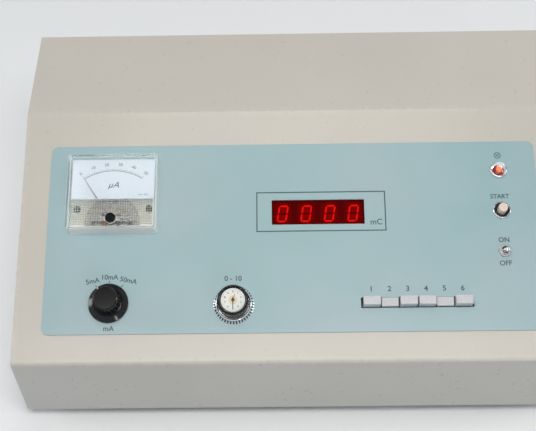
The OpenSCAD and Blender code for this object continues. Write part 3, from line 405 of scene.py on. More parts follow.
# %% Solids with rounded edges
def solid_of(node):
    """A CAD node's solid as an editable mesh, merged, with flat faces in one piece."""
    source = nodes[node].data
    shape = bmesh.new()
    corners = [shape.verts.new(v.co) for v in source.vertices]
    for face in source.polygons:
        shape.faces.new([corners[i] for i in face.vertices])
    bmesh.ops.remove_doubles(shape, verts=shape.verts, dist=0.001 * MM)
    bmesh.ops.dissolve_limit(
        shape, angle_limit=math.radians(0.5), verts=shape.verts, edges=shape.edges
    )
    return shape


def rounded(shape, edge, rounds, corner, only, weld):
    """Rounds the hard edges of a shape by this many millimetres and shades it smooth."""
    weight = shape.edges.layers.float.new("bevel_weight_edge")
    for face in shape.faces:
        face.smooth = True
    for e in shape.edges:
        hard = e.is_manifold and e.calc_face_angle(0.0) > math.radians(corner)
        e[weight] = float(hard and (only is None or only(e)))
    bevel = {"limit_method": "WEIGHT", "width": edge * MM, "segments": rounds}
    soft = baked(poured(shape, "rounded"), ("BEVEL", bevel), ("WELD", {"merge_threshold": weld * MM}))
    soft.set_sharp_from_angle(angle=math.radians(50))
    return baked(soft, ("WEIGHTED_NORMAL", {"keep_sharp": True}))


# %% Making and dressing pieces
def piece(name, mesh, body, slot, *finishes, corner=32):
    """Puts a finished mesh in the scene on its body, with its finishes. The slot is not used."""
    mesh.materials.clear()
    for finish in finishes:
        mesh.materials.append(finish.material)
    if corner:
        mesh.shade_smooth()
        mesh.set_sharp_from_angle(angle=math.radians(corner))
    made = put(name, mesh)
    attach(made, body)
    print(name, len(mesh.polygons), "faces")
    return made


def dressed(node, *finishes, edge=0.2, rounds=2, corner=30, only=None, choose=None, weld=0.0):
    """Stands a rounded copy of a CAD node in for it. choose(face) gives a face's finish number."""
    mesh = rounded(solid_of(node), edge, rounds, corner, only, weld)
    made = piece(node + "_finished", mesh, body_with[node], slot_with[node], *finishes, corner=0)
    if choose:
        for face in mesh.polygons:
            face.material_index = choose(face)
    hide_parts(node)


def coated(finish, *names):
    """Gives CAD nodes that keep their own mesh a better material."""
    for name in names:
        for held in nodes[name].material_slots:
            held.material = finish.material
    print("coated", *names)


# %% [markdown]
# ## The case
# The cover is one sheet of steel, folded twice across the front, with side cheeks welded on and ground
# round. It is sprayed with semi-gloss warm grey enamel. The enamel could be a single glossy shader, but the
# real coat shows orange peel, a slow drift of tone and a polish from hands along the folds and corners,
# which is where the eye looks for the material. There its colour is also made lighter, as a painted
# highlight.

# %% Case enamel
# Along folds and corners the enamel is more polished, and its colour is lighter as a painted highlight.
RUB_AND_HIGHLIGHT_BAND = (0.5 * MM, 5 * MM)  # fully rubbed up to the first distance from a fold, not past the second


def enamel(name, colour, rub_and_highlight):
    """Sprayed enamel: orange peel, drift of tone, and a polish from handling with a painted highlight by
    folds and corners.
    """
    coat = Finish(name, colour, 0.34, Coat_Weight=0.18, Coat_Roughness=0.16)
    x, s, h = coat.axes(coat.slope_place())
    fold = coat.length(s, h)
    ridge = coat.length(coat.sum("SUBTRACT", s, SLOPE_RUN * MM), h)
    corner = coat.length(coat.sum("SUBTRACT", HALF_WIDTH * MM, coat.sum("ABSOLUTE", x)), h)
    nearest = coat.sum("MINIMUM", coat.sum("MINIMUM", fold, ridge), corner)
    near_fold_or_corner = coat.between(nearest, 1.0, 0.0, *RUB_AND_HIGHLIGHT_BAND)
    rub_and_highlight_mask = coat.sum("MULTIPLY", near_fold_or_corner, coat.between(coat.noise(0.12, 4), 0.15, 1.0))
    drift = coat.blend(coat.between(coat.noise(0.012, 3), 0.0, 1.0), tuple(c * 0.955 for c in colour))
    specks = coat.between(coat.noise(1.3, 3), 0.0, 0.25, 0.64, 0.78)
    dusty = coat.blend(specks, tuple(c * 0.95 for c in colour), drift)
    # Painted highlight: the colour is made lighter along the folds and corners.
    coat.blend(coat.sum("MULTIPLY", rub_and_highlight_mask, rub_and_highlight), tuple(min(1, c * 1.12) for c in colour), dusty)
    coat.gloss(coat.sum("SUBTRACT", coat.noise(0.25, 3), coat.sum("MULTIPLY", rub_and_highlight_mask, 0.12)), 0.27, 0.43)
    coat.relief(coat.noise(0.6, 1.0), 0.009, 0.4)
    return coat


case_enamel = enamel("case_enamel", ink(208, 203, 194), 0.5)
panel_enamel = enamel("rear_panel_enamel", ink(202, 197, 187), 0.2)


# %% Cover, pan and rear panel
COVER_END_Y = 130
LONG_EDGE = 20


def along_cheek(edge):
    """True for the long outer corners between a cheek and the folded sheet."""
    a, b = (v.co for v in edge.verts)
    outer = min(abs(a.x), abs(b.x)) > (HALF_WIDTH - 0.1) * MM
    before_end = max(a.y, b.y) < (COVER_END_Y - 0.1) * MM
    front_or_top = min(a.z, b.z) > (UNDERSIDE + 0.5) * MM and before_end
    straight = abs(a.x - b.x) < 0.01 * MM
    on_floor = max(a.z, b.z) < (UNDERSIDE + 0.2) * MM
    return outer and straight and not on_floor and (front_or_top or (b - a).length > LONG_EDGE * MM)


dressed("top_cover", case_enamel, edge=1.2, rounds=4, only=along_cheek)
dressed("base_pan", case_enamel, edge=0.25)
dressed("rear_panel", panel_enamel, edge=0.2)

# %% Rubber feet
foot_rubber = worn(
    "foot_rubber", (34, 34, 36), 0.8, patches=(0.3, 4, 0.6), other=(62, 60, 57),
    sheen=(0.8, 3, 0.62, 0.92), tooth=(2.2, 3, 0.05, 0.6),
)
dressed("rubber_feet", foot_rubber, edge=0.8, rounds=3)

# %% [markdown]
# ## Control plate
# A thin aluminium plate, sprayed grey-blue with a satin lacquer and screen printed. Its tone drifts a
# little over its length and the lacquer has a fine tooth. The print is modelled as thin raised ink, because
# a real screen print stands a few hundredths of a millimetre proud and its edge stays crisp at any zoom.

# %% Plate lacquer
plate_lacquer = Finish("plate_lacquer", ink(151, 186, 191), 0.38, Coat_Weight=0.1, Coat_Roughness=0.2)
slow = plate_lacquer.between(plate_lacquer.noise(0.011, 3), 0.0, 1.0)
lacquer_drift = plate_lacquer.blend(slow, ink(166, 189, 196))
speckle = plate_lacquer.between(plate_lacquer.noise(2.4, 3), 0.0, 0.14)
plate_lacquer.blend(speckle, ink(188, 208, 211), lacquer_drift)
plate_lacquer.gloss(plate_lacquer.noise(0.2, 4), 0.3, 0.44)
plate_lacquer.relief(plate_lacquer.noise(2.0, 2), 0.012, 0.5)
dressed("control_plate", plate_lacquer, edge=0.18)

# %% Raised letters
INK_H = 0.04  # height of the printed ink
CAPITAL = 0.72  # a capital letter's share of the font's size


def lettering(shape, words, size, place, lean=0.0, bold=0.0):
    """Adds raised letters, with capitals of this height, to a shape."""
    curve = bpy.data.curves.new("letters", "FONT")
    curve.body = words
    curve.size = size * MM / CAPITAL
    curve.align_x = "CENTER"
    curve.align_y = "CENTER"
    curve.extrude = INK_H * MM / 2
    curve.offset = bold * MM
    curve.shear = lean
    curve.resolution_u = 4
    mesh = as_mesh(put("letters", curve))
    mesh.transform(place @ Matrix.Translation((0, 0, INK_H * MM / 2)))
    shape.from_mesh(mesh)


# %% Strokes
def stroke(shape, start, end, width, place, height=INK_H):
    """Adds a straight printed line to a shape."""
    a, b = Vector(start) * MM, Vector(end) * MM
    along = (b - a).normalized() * width * MM / 2
    across = Vector((-along.y, along.x))
    foot = [a - along - across, b + along - across, b + along + across, a - along + across]
    low = [shape.verts.new(place @ Vector((p.x, p.y, 0))) for p in foot]
    high = [shape.verts.new(place @ Vector((p.x, p.y, height * MM))) for p in foot]
    shape.faces.new(low[::-1])
    shape.faces.new(high)
    for i in range(4):
        j = (i + 1) % 4
        shape.faces.new((low[i], low[j], high[j], high[i]))


# %% Hoops
def hoop(shape, radius, width, place, start=0, end=360, steps=48, height=INK_H):
    """Adds a printed ring or arc, in degrees clockwise from the top."""
    closed = end - start >= 360
    spots = []
    for i in range(steps if closed else steps + 1):
        a = math.radians(start + (end - start) * i / steps)
        spots.append(Vector((math.sin(a), math.cos(a))))
    inner, outer = radius - width / 2, radius + width / 2
    rims = []
    for r, h in ((inner, 0), (outer, 0), (outer, height), (inner, height)):
        rims.append([shape.verts.new(place @ Vector((p.x * r * MM, p.y * r * MM, h * MM))) for p in spots])
    for i in range(steps):
        j = (i + 1) % len(spots)
        for k in range(4):
            a, b = rims[k], rims[(k + 1) % 4]
            shape.faces.new((a[j], a[i], b[i], b[j]))
    if not closed:
        shape.faces.new([rim[0] for rim in rims])
        shape.faces.new([rim[-1] for rim in rims[::-1]])


def print_mesh(shape):
    """Turns a shape of print into a mesh with its faces outwards."""
    bmesh.ops.remove_doubles(shape, verts=shape.verts, dist=0.0005 * MM)
    bmesh.ops.recalc_face_normals(shape, faces=shape.faces)
    return poured(shape, "print")


# %% Frame of the display and marks of the range knob
plate_ink = worn(
    "plate_ink", (58, 84, 90), 0.5, patches=(2.6, 3, 0.4), other=(88, 114, 119),
    sheen=(1.5, 2, 0.4, 0.6), tooth=(3.0, 2, 0.01, 0.4),
)
RANGE_KNOB = (-129, 42.3)
WINDOW_X, WINDOW_S = (-25.6, 65.8), (93.8, 123.0)
FRAME_LINE = 0.85
STEP = 36  # degrees between two ranges
TICK = ((0, 14.9), (0, 16.2))
legend = bmesh.new()
for s in WINDOW_S:
    stroke(legend, (WINDOW_X[0], s), (WINDOW_X[1], s), FRAME_LINE, on_slope(0, 0, PLATE))
for x in WINDOW_X:
    stroke(legend, (x, WINDOW_S[0] + 0.4), (x, WINDOW_S[1] - 0.4), FRAME_LINE, on_slope(0, 0, PLATE))
for place, out, words in ((1, 20.1, "5mA"), (0, 18.9, "10mA"), (-1.08, 21.2, "50mA")):
    stroke(legend, *TICK, 0.55, on_slope(*RANGE_KNOB, PLATE, round(place) * STEP))
    spoke = on_slope(*RANGE_KNOB, PLATE, place * STEP)
    upright = Matrix.Rotation(math.radians(-25 * place), 4, "Z")
    lettering(legend, words, 3.6, spoke @ Matrix.Translation((0, out * MM, 0)) @ upright, bold=0.09)

# %% Words, numbers and the lamp's mark
TURNS_DIAL = (-41.8, 40.4)
KEY_ROW_X, KEY_PITCH = 85.4, 12.7
COLUMN = 148.4
for words, size, x, s, bold in (
    ("mC", 4.3, 59.2, 99.9, 0.07),
    ("mA", 3.7, RANGE_KNOB[0] + 0.6, 24.5, 0.09),
    ("0 - 10", 3.7, TURNS_DIAL[0] - 0.6, 59.3, 0.09),
    ("START", 3.3, COLUMN - 0.6, 117.9, 0.09),
    ("ON", 3.6, COLUMN, 85.4, 0.09),
    ("OFF", 3.6, COLUMN, 68.3, 0.09),
):
    lettering(legend, words, size, on_slope(x, s, PLATE), bold=bold)
for i in range(6):
    from_middle = (i - 2.5) * KEY_PITCH
    lettering(legend, str(i + 1), 3.8, on_slope(KEY_ROW_X + from_middle, 50.7, PLATE), bold=0.12)
lamp_mark = on_slope(COLUMN, 149.6, PLATE)
hoop(legend, 2.2, 0.5, lamp_mark)
for lean in (45, -45):
    mark = lamp_mark @ Matrix.Rotation(math.radians(lean), 4, "Z")
    stroke(legend, (0, -2), (0, 2), 0.45, mark, INK_H * 0.9)
piece("plate_print", print_mesh(legend), "case", "plate_print", plate_ink)

# %% [markdown]
# ## Screws
# Twenty pan-head screws hold the case, the boards and the display. They are one screw, repeated, so one
# tree of Geometry Nodes puts a screw on every point of a small mesh and turns it by an attribute. Copying
# objects by hand would look the same, but then each screw would be its own thing to keep in step.

# %% Tools for Geometry Nodes
SOCKETS = {float: "NodeSocketFloat", int: "NodeSocketInt"}


class Rule(Wiring):
    """A tree of Geometry Nodes with named inputs."""

    def __init__(self, name, **inputs):
        super().__init__(bpy.data.node_groups.new(name, "GeometryNodeTree"))
        face = self.tree.interface
        face.new_socket("Geometry", in_out="INPUT", socket_type="NodeSocketGeometry")
        self.ids, self.values = {}, inputs
        for label, value in inputs.items():
            kind = SOCKETS.get(type(value)) or "NodeSocket" + type(value).__name__
            self.ids[label] = face.new_socket(label, in_out="INPUT", socket_type=kind).identifier
        face.new_socket("Geometry", in_out="OUTPUT", socket_type="NodeSocketGeometry")
        self.given = self.node("NodeGroupInput").outputs

    def finish(self, geometry):
        """Ends the tree in Realize Instances and Set Material."""
        real = self.node("GeometryNodeRealizeInstances", geometry).outputs[0]
        last = self.node("GeometryNodeSetMaterial", real, Material=self.given["Finish"])
        self.node("NodeGroupOutput", last.outputs[0])

    def grown(self, seed=None):
        """Runs the tree on a seed mesh, or on an empty one, and returns a plain mesh."""
        holder = put("bench", seed or bpy.data.meshes.new("seed"))
        made = holder.modifiers.new("Rule", "NODES")
        made.node_group = self.tree
        for label, value in self.values.items():
            made[self.ids[label]] = value
        return as_mesh(holder)


# %% Plated steel
plated_steel = worn(
    "plated_steel", (186, 188, 190), 0.28, patches=(0.6, 4, 0.35), other=(158, 157, 154),
    sheen=(1.4, 4, 0.2, 0.42), drawn=(1, 1, 6), tooth=(2.5, 3, 0.006, 0.5), Metallic=1.0,
)


# %% A lathe
def lathe(outline, steps, name="turned"):
    """A closed body of revolution about Z from an outline of (radius, height) in millimetres."""
    shape = bmesh.new()
    rings = []
    for radius, height in outline:
        if radius < 1e-6:
            rings.append([shape.verts.new((0, 0, height * MM))])
            continue
        ring = []
        for i in range(steps):
            a = 2 * math.pi * i / steps
            spot = (radius * math.cos(a) * MM, radius * math.sin(a) * MM, height * MM)
            ring.append(shape.verts.new(spot))
        rings.append(ring)
    for low, high in zip(rings, rings[1:]):
        for i in range(steps):
            j = (i + 1) % steps
            if len(low) == 1 and len(high) > 1:
                shape.faces.new((low[0], high[i], high[j]))
            elif len(high) == 1 and len(low) > 1:
                shape.faces.new((low[i], low[j], high[0]))
            elif len(low) > 1:
                shape.faces.new((low[i], low[j], high[j], high[i]))
    bmesh.ops.remove_doubles(shape, verts=shape.verts, dist=0.0001 * MM)
    bmesh.ops.recalc_face_normals(shape, faces=shape.faces)
    return poured(shape, name)


# %% The screw
THREADS, THREAD_PITCH = 12, 0.62
THREAD_R, GROOVE_R = 1.48, 1.22


def screw_mesh():
    """A pan-head screw with a domed head, a cross recess and turned thread grooves."""
    thread = []
    for i in range(THREADS):
        low = -7.9 + i * THREAD_PITCH
        thread += [(GROOVE_R, low), (THREAD_R, low + THREAD_PITCH / 2)]
    head = [(1.5, -0.35), (1.5, 0), (2.78, 0), (2.8, 0.25), (2.62, 0.95), (2.2, 1.45), (1.5, 1.72), (0, 1.8)]
    body = lathe([(0, -8), (1.0, -8)] + thread + head, 20)
    cross = bmesh.new()
    for size in ((3.2, 0.7, 1.0), (0.7, 3.2, 1.0)):
        bmesh.ops.create_cube(
            cross, size=MM,
            matrix=Matrix.Translation((0, 0, 1.6 * MM)) @ Matrix.Diagonal((*size, 1)),
        )
    cutter = put("cross", poured(cross, "cross"))
    cut = baked(body, ("BOOLEAN", {"object": cutter, "solver": "EXACT", "use_self": True}))
    bpy.data.objects.remove(cutter)
    return cut


# %% Places of the screws
def side_place(side, y):
    """On a cheek, y behind the front."""
    return (
        Matrix.Translation(Vector((side * HALF_WIDTH, FRONT_Y + y, 17)) * MM)
        @ Matrix.Rotation(side * math.pi / 2, 4, "Y")
    )


screw_places = [side_place(side, y) for side in (-1, 1) for y in (40, 130, 215)]
REAR_SCREWS = ((186.2, 40), (186.2, 100), (100, 7))
screw_places += [on_rear(side * x, z) for side in (-1, 1) for x, z in REAR_SCREWS]
SHEET, SPACER, BOARD = 1.5, 8, 1.6  # what stands under the main board's face
board_mid = Vector((-55, 5, UNDERSIDE + SHEET + SPACER + BOARD))
for x in (-102, 102):
    for y in (-59, 59):
        screw_places.append(Matrix.Translation((board_mid + Vector((x, y, 0))) * MM))
DISPLAY = (18, 108)
DISPLAY_DEPTH = -2.6 - 7 - 1.6  # digits, spacers and board below the sheet
for x in (-38, 38):
    for y in (-14.5, 14.5):
        low = on_slope(DISPLAY[0] + x, DISPLAY[1] + y, DISPLAY_DEPTH)
        screw_places.append(low @ Matrix.Rotation(math.pi, 4, "X"))
print("screws", len(screw_places))

# %% Screws on points
seeds = bpy.data.meshes.new("screw_places")
seeds.from_pydata([m.translation for m in screw_places], [], [])
aim = seeds.attributes.new("aim", "FLOAT_VECTOR", "POINT")
for i, m in enumerate(screw_places):
    aim.data[i].vector = m.to_euler()

screw = put("screw_pattern", screw_mesh())
screws_rule = Rule("screws_on_points", Screw=screw, Finish=plated_steel.material)
pattern = screws_rule.node("GeometryNodeObjectInfo", Object=screws_rule.given["Screw"])
aimed = screws_rule.node(
    "GeometryNodeInputNamedAttribute", Name="aim", settings=[("data_type", "FLOAT_VECTOR")]
)
copies = screws_rule.node(
    "GeometryNodeInstanceOnPoints",
    Points=screws_rule.given["Geometry"],
    Instance=pattern.outputs["Geometry"],
    Rotation=aimed.outputs["Attribute"],
)
screws_rule.finish(copies.outputs[0])
screws = piece(
    "machine_screws_finished", screws_rule.grown(seeds), "case", "screw_steel", plated_steel
)
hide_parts("machine_screws")
bpy.data.objects.remove(screw)
dressed("chassis_screws", plated_steel, edge=0.15)

# %% [markdown]
# ## Meter
# A moving-coil meter under a clear moulded front. The upper half of the front is plain and shows a printed
# card. The lower half has moulded ribs that hide the movement, with the black zero screw in the middle. The
# clear plastic bends light, so it is real glass to the renderer, but lamps are let through it untouched.
# Otherwise the card below would lie in a shadow that the real meter doesn't have.

# %% Clear acrylic
def clear_acrylic(name, tone, rough, lets_through=0.94, clear=1.0):
    """Polished clear plastic with fine handling marks and a low glare. Lamps pass through it."""
    glass = Finish(
        name, tone, rough, IOR=1.49, Transmission_Weight=clear, Specular_Tint=(0.3, 0.3, 0.3, 1)
    )
    glass.gloss(glass.noise(0.5, 5), rough, rough + 0.05)
    glass.relief(glass.noise(0.08, 2), 0.01, 0.3)
    shadow = glass.node("ShaderNodeLightPath").outputs["Is Shadow Ray"]
    glass.share_with(glass.node("ShaderNodeBsdfTransparent"), glass.sum("MULTIPLY", shadow, lets_through))
    return glass


front_acrylic = clear_acrylic("meter_acrylic", (0.95, 0.975, 0.98), 0.015)
milky_acrylic = clear_acrylic("milky_acrylic", (0.93, 0.935, 0.92), 0.42, 0.85, clear=0.3)
# The steep walls of the ribs' grooves get a dark-tinted acrylic: painted shade.
groove_acrylic = clear_acrylic("groove_acrylic", (0.5, 0.49, 0.46), 0.35, 0.9)
# The rounded edges of the front get a paler, less clear acrylic: a painted highlight.
edge_acrylic = clear_acrylic("edge_acrylic", (0.93, 0.955, 0.96), 0.16, 0.9, clear=0.55)

# %% Front of the meter
METER = (-128, 121)
PIVOT_S = 100.7
FRONT_TOP = PLATE + 14
WALL_S = METER[1] - 25.5  # where the front's lower wall begins
SQUARE_ON = 0.985  # a face turned further from the slope's axes is part of a rounded edge


def cover_finish(face):
    """0 clear, 1 the milky wall that faces the front, 2 the rounded edges, made paler and less clear as a
    painted highlight.
    """
    along = on_slope().inverted().to_3x3() @ Vector(face.normal)
    if max(abs(v) for v in along) < SQUARE_ON:
        return 2
    return int(from_slope(face.center).y < WALL_S and abs(along.y) > 0.75)


dressed(
    "meter_cover", front_acrylic, milky_acrylic, edge_acrylic,
    edge=0.7, rounds=4, corner=50, choose=cover_finish
)

# %% A rule for ribs
ribs_rule = Rule(
    "moulded_ribs", Width=0.02, Length=0.01, Pitch=1.7 * MM, Sheet=0.25 * MM, Rise=0.3 * MM,
    Land=0.19, Finish=front_acrylic.material,
)
given, calc = ribs_rule.given, ribs_rule.sum
across = calc("ROUND", calc("DIVIDE", given["Width"], given["Pitch"]))
upslope = calc("ROUND", calc("DIVIDE", given["Length"], given["Pitch"]))


def rib_grid():
    """A grid with three lines to a pitch: a groove and the two edges of a pad."""
    lines = (calc("MULTIPLY_ADD", count, 3.0, 1.0) for count in (across, upslope))
    return ribs_rule.node("GeometryNodeMeshGrid", given["Width"], given["Length"], *lines).outputs[0]


def groove_and_pad(position, span, count):
    """Whether a grid line is on a pad (1) or in a groove (0), and the shift that widens its pad."""
    share = calc("DIVIDE", calc("MULTIPLY_ADD", span, 0.5, position), span)
    line = calc("ROUND", calc("MULTIPLY", calc("MULTIPLY", share, count), 3.0))
    third = calc("FLOORED_MODULO", line, 3.0)
    on_pad = calc("MINIMUM", third, 1.0)
    aside = calc("MULTIPLY", calc("MULTIPLY_ADD", third, 2.0, -3.0), on_pad)
    return on_pad, calc("MULTIPLY", aside, calc("MULTIPLY", given["Land"], given["Pitch"]))


# %% Pads and grooves from a grid
bottom = ribs_rule.node("GeometryNodeFlipFaces", rib_grid()).outputs[0]
lifted = ribs_rule.node(
    "GeometryNodeExtrudeMesh", rib_grid(), Offset_Scale=given["Sheet"], Individual=False
)
where = ribs_rule.node("ShaderNodeSeparateXYZ", ribs_rule.node("GeometryNodeInputPosition").outputs[0])
pad_x, shift_x = groove_and_pad(where.outputs["X"], given["Width"], across)
pad_y, shift_y = groove_and_pad(where.outputs["Y"], given["Length"], upslope)
rise = calc("MULTIPLY", calc("MULTIPLY", pad_x, pad_y), given["Rise"])
move = ribs_rule.node("ShaderNodeCombineXYZ", shift_x, shift_y, rise).outputs[0]
ribbed = ribs_rule.node(
    "GeometryNodeSetPosition", lifted.outputs["Mesh"], Selection=lifted.outputs["Top"], Offset=move
).outputs[0]
joined = ribs_rule.node("GeometryNodeJoinGeometry", bottom)
ribs_rule.feed(joined.inputs[0], ribbed)
closed = ribs_rule.node("GeometryNodeMergeByDistance", joined.outputs[0], Distance=0.002 * MM).outputs[0]
ribs_rule.finish(closed)
print("nodes of the rule", len(ribs_rule.tree.nodes))

# %% Ribs of the meter front
RIB_FIELDS = ((-29.6, -4.6, 95.8, 115.0), (4.6, 29.6, 95.8, 115.0), (-4.55, 4.55, 105.2, 115.0))
ribs = bmesh.new()
for left, right_x, low_s, high_s in RIB_FIELDS:
    ribs_rule.values["Width"] = (right_x - left) * MM
    ribs_rule.values["Length"] = (high_s - low_s) * MM
    field = ribs_rule.grown()
    field.transform(
        on_slope(METER[0] + (left + right_x) / 2, (low_s + high_s) / 2, FRONT_TOP + 0.01)
    )
    ribs.from_mesh(field)
meter_ribs = piece(
    "meter_ribs", print_mesh(ribs), "case", "clear_plastic", front_acrylic, groove_acrylic, corner=10
)
# Steep faces in the grooves take the second, dark-tinted acrylic, as painted shade.
outward = on_slope().to_3x3() @ Vector((0, 0, 1))
for face in meter_ribs.data.polygons:
    face.material_index = int(0.1 < abs(face.normal.dot(outward)) < 0.95)

# %% Housing and card
housing_pale = worn(
    "meter_base_moulding", (222, 219, 208), 0.5, patches=(0.08, 3, 1), other=(212, 209, 198),
    sheen=(0.7, 3, 0.42, 0.6), tooth=(3.0, 2, 0.01, 0.5),
)
black_moulding = worn(
    "black_moulding", (30, 31, 34), 0.42, patches=(0.5, 4, 0.5), other=(44, 45, 48),
    sheen=(1.0, 3, 0.34, 0.55), tooth=(3.5, 2, 0.015, 0.6),
)
stud_dark = worn(
    "stud_dark", (60, 60, 58), 0.4, patches=(1.0, 3, 0.6), other=(88, 87, 84),
    sheen=(2.0, 3, 0.32, 0.5), Metallic=0.6,
)
card_white = worn(
    "dial_card", (201, 208, 217), 0.55, patches=(1.8, 4, 0.35), other=(188, 195, 205),
    sheen=(0.9, 3, 0.48, 0.66), tooth=(4.0, 3, 0.006, 0.5),
)
STUD_X, STUD_S, STUD_R, STUD_H = 25.6, 110.8, 2.7, 2.9
BARREL_H = 0.9


def housing_finish(face):
    """0 the pale base, 1 the black barrel behind the panel, 2 the two dark screw heads."""
    x, s, h = from_slope(face.center)
    from_stud = math.hypot(abs(x - METER[0]) - STUD_X, s - STUD_S)
    return 1 if h < BARREL_H else 2 if h > STUD_H and from_stud < STUD_R else 0


dressed("meter_housing", housing_pale, black_moulding, stud_dark, edge=0.3, choose=housing_finish)
dressed("meter_dial", card_white, edge=0.08)

# %% How long each tick is
dial_ink = worn(
    "dial_ink", (58, 62, 70), 0.55, patches=(4.0, 2, 0.5), other=(92, 96, 104),
    sheen=(2.0, 2, 0.45, 0.65),
)
SWEEP = 33.5  # degrees from the middle of the scale to its end
ticks_rule = Rule(
    "ticks_on_an_arc", Count=51, Radius=37.5 * MM, Sweep=math.radians(SWEEP), Minor=1.3 * MM,
    Major=2.6 * MM, Width=0.16 * MM, Height=INK_H * MM, Every=10, Finish=dial_ink.material,
)
given, calc = ticks_rule.given, ticks_rule.sum
number = ticks_rule.node("GeometryNodeInputIndex").outputs[0]
share = calc("DIVIDE", number, calc("SUBTRACT", given["Count"], 1.0))
tick_angle = calc("MULTIPLY", calc("MULTIPLY_ADD", share, 2.0, -1.0), given["Sweep"])
is_major = calc("COMPARE", calc("MODULO", number, given["Every"]), 0.0, 0.1)
half = calc("MULTIPLY", given["Every"], 0.5)
is_middle = calc("COMPARE", calc("MODULO", number, half), 0.0, 0.1)
grade = calc("MULTIPLY", calc("ADD", is_major, is_middle), 0.5)
extra = calc("SUBTRACT", given["Major"], given["Minor"])
tick_length = calc("MULTIPLY_ADD", grade, extra, given["Minor"])
reach = calc("MULTIPLY_ADD", tick_length, 0.5, given["Radius"])

# %% Ticks on their arc
spot = ticks_rule.node(
    "ShaderNodeCombineXYZ",
    calc("MULTIPLY", calc("SINE", tick_angle), reach),
    calc("MULTIPLY", calc("COSINE", tick_angle), reach),
    calc("MULTIPLY", given["Height"], 0.5),
)
size = ticks_rule.node("ShaderNodeCombineXYZ", given["Width"], tick_length, given["Height"])
turn = ticks_rule.node("ShaderNodeCombineXYZ", 0.0, 0.0, calc("MULTIPLY", tick_angle, -1.0))
ticks = ticks_rule.node(
    "GeometryNodeInstanceOnPoints",
    Points=ticks_rule.node("GeometryNodePoints", given["Count"], spot.outputs[0]).outputs[0],
    Instance=ticks_rule.node("GeometryNodeMeshCube", (1, 1, 1)).outputs[0],
    Rotation=turn.outputs[0],
    Scale=size.outputs[0],
)
ticks_rule.finish(ticks.outputs[0])
print("nodes of the rule", len(ticks_rule.tree.nodes))

# %% Scale of the meter
CARD_TOP = PLATE + 7.5
ARC_R, NUMBER_R = 37.4, 42.3
scale_place = on_slope(METER[0], PIVOT_S, CARD_TOP)
scale = bmesh.new()
ticks_mesh = ticks_rule.grown()
ticks_mesh.transform(scale_place)
scale.from_mesh(ticks_mesh)
hoop(scale, ARC_R, 0.3, scale_place, -SWEEP, SWEEP, 60, INK_H * 0.8)
for i in range(6):
    turned = scale_place @ Matrix.Rotation(math.radians(SWEEP - SWEEP * 2 / 5 * i), 4, "Z")
    lettering(scale, str(10 * i), 2.3, turned @ Matrix.Translation((0, NUMBER_R * MM, 0)))
lettering(scale, "µA", 4.7, on_slope(METER[0] + 0.3, 127.2, CARD_TOP), lean=0.35)
stroke(scale, (18.2, 19.2), (21.4, 19.2), 0.25, scale_place)
lettering(scale, "2.5", 1.5, on_slope(METER[0] + 23.8, 119.9, CARD_TOP))
piece("dial_scale", print_mesh(scale), "case", "dial_card", dial_ink)

# %% Movement and coil
magnet_steel = worn(
    "magnet_steel", (176, 172, 166), 0.42, patches=(0.4, 5, 0.6), other=(140, 134, 127),
    sheen=(1.2, 4, 0.3, 0.55), tooth=(1.6, 3, 0.02, 0.5), Metallic=0.6,
)
BRIDGE_H = 10
dressed(
    "meter_movement", magnet_steel, plated_steel, edge=0.15,
    choose=lambda face: int(from_slope(face.center).z > BRIDGE_H),
)
coil_copper = Finish("coil_copper", ink(132, 96, 74), 0.4, Metallic=0.7)
turns_of_wire = coil_copper.node(
    "ShaderNodeTexWave", Vector=coil_copper.slope_place(), Scale=3.2 / MM, Distortion=0.6,
    settings=[("bands_direction", "Z")],
)
coil_copper.blend(turns_of_wire.outputs["Fac"], ink(98, 72, 56))
coil_copper.relief(turns_of_wire.outputs["Fac"], 0.08, 0.8)
dressed("meter_coil", coil_copper, edge=0.1)

# %% Needle
needle_grey = worn(
    "needle_grey", (140, 128, 137), 0.4, patches=(1.5, 3, 0.5), other=(160, 148, 157),
    sheen=(2.0, 2, 0.32, 0.5),
)
dressed("meter_needle", needle_grey, edge=0.06)

# %% Zero screw
def polished_black(name, rough):
    """Glossy black moulding with hairline scuffs and a trace of dust."""
    gloss = Finish(name, ink(9, 10, 12), rough, Specular_IOR_Level=0.3)
    scuffs = gloss.noise(0.9, 5, stretch=(1, 1, 9))
    gloss.blend(gloss.between(scuffs, 0, 0.12, 0.55, 0.8), ink(44, 45, 48))
    gloss.gloss(gloss.noise(2.2, 5), rough, rough + 0.06)
    gloss.relief(gloss.noise(0.15, 2), 0.008, 0.15)
    return gloss


dressed("meter_zero_screw", polished_black("zero_screw_black", 0.18), edge=0.25, rounds=3)

# %% [markdown]
# ## Display
# Four seven-bar digits stand behind a red window. Each lit bar is its own light, and the red window over
# them makes the dark parts look deep red. The digits show zeros, so the middle bar and the point stay
# dark. The glow that surrounds a lit figure is painted on the block's face as a soft oval, because light
# scattered inside real epoxy would cost the renderer far more than it shows.

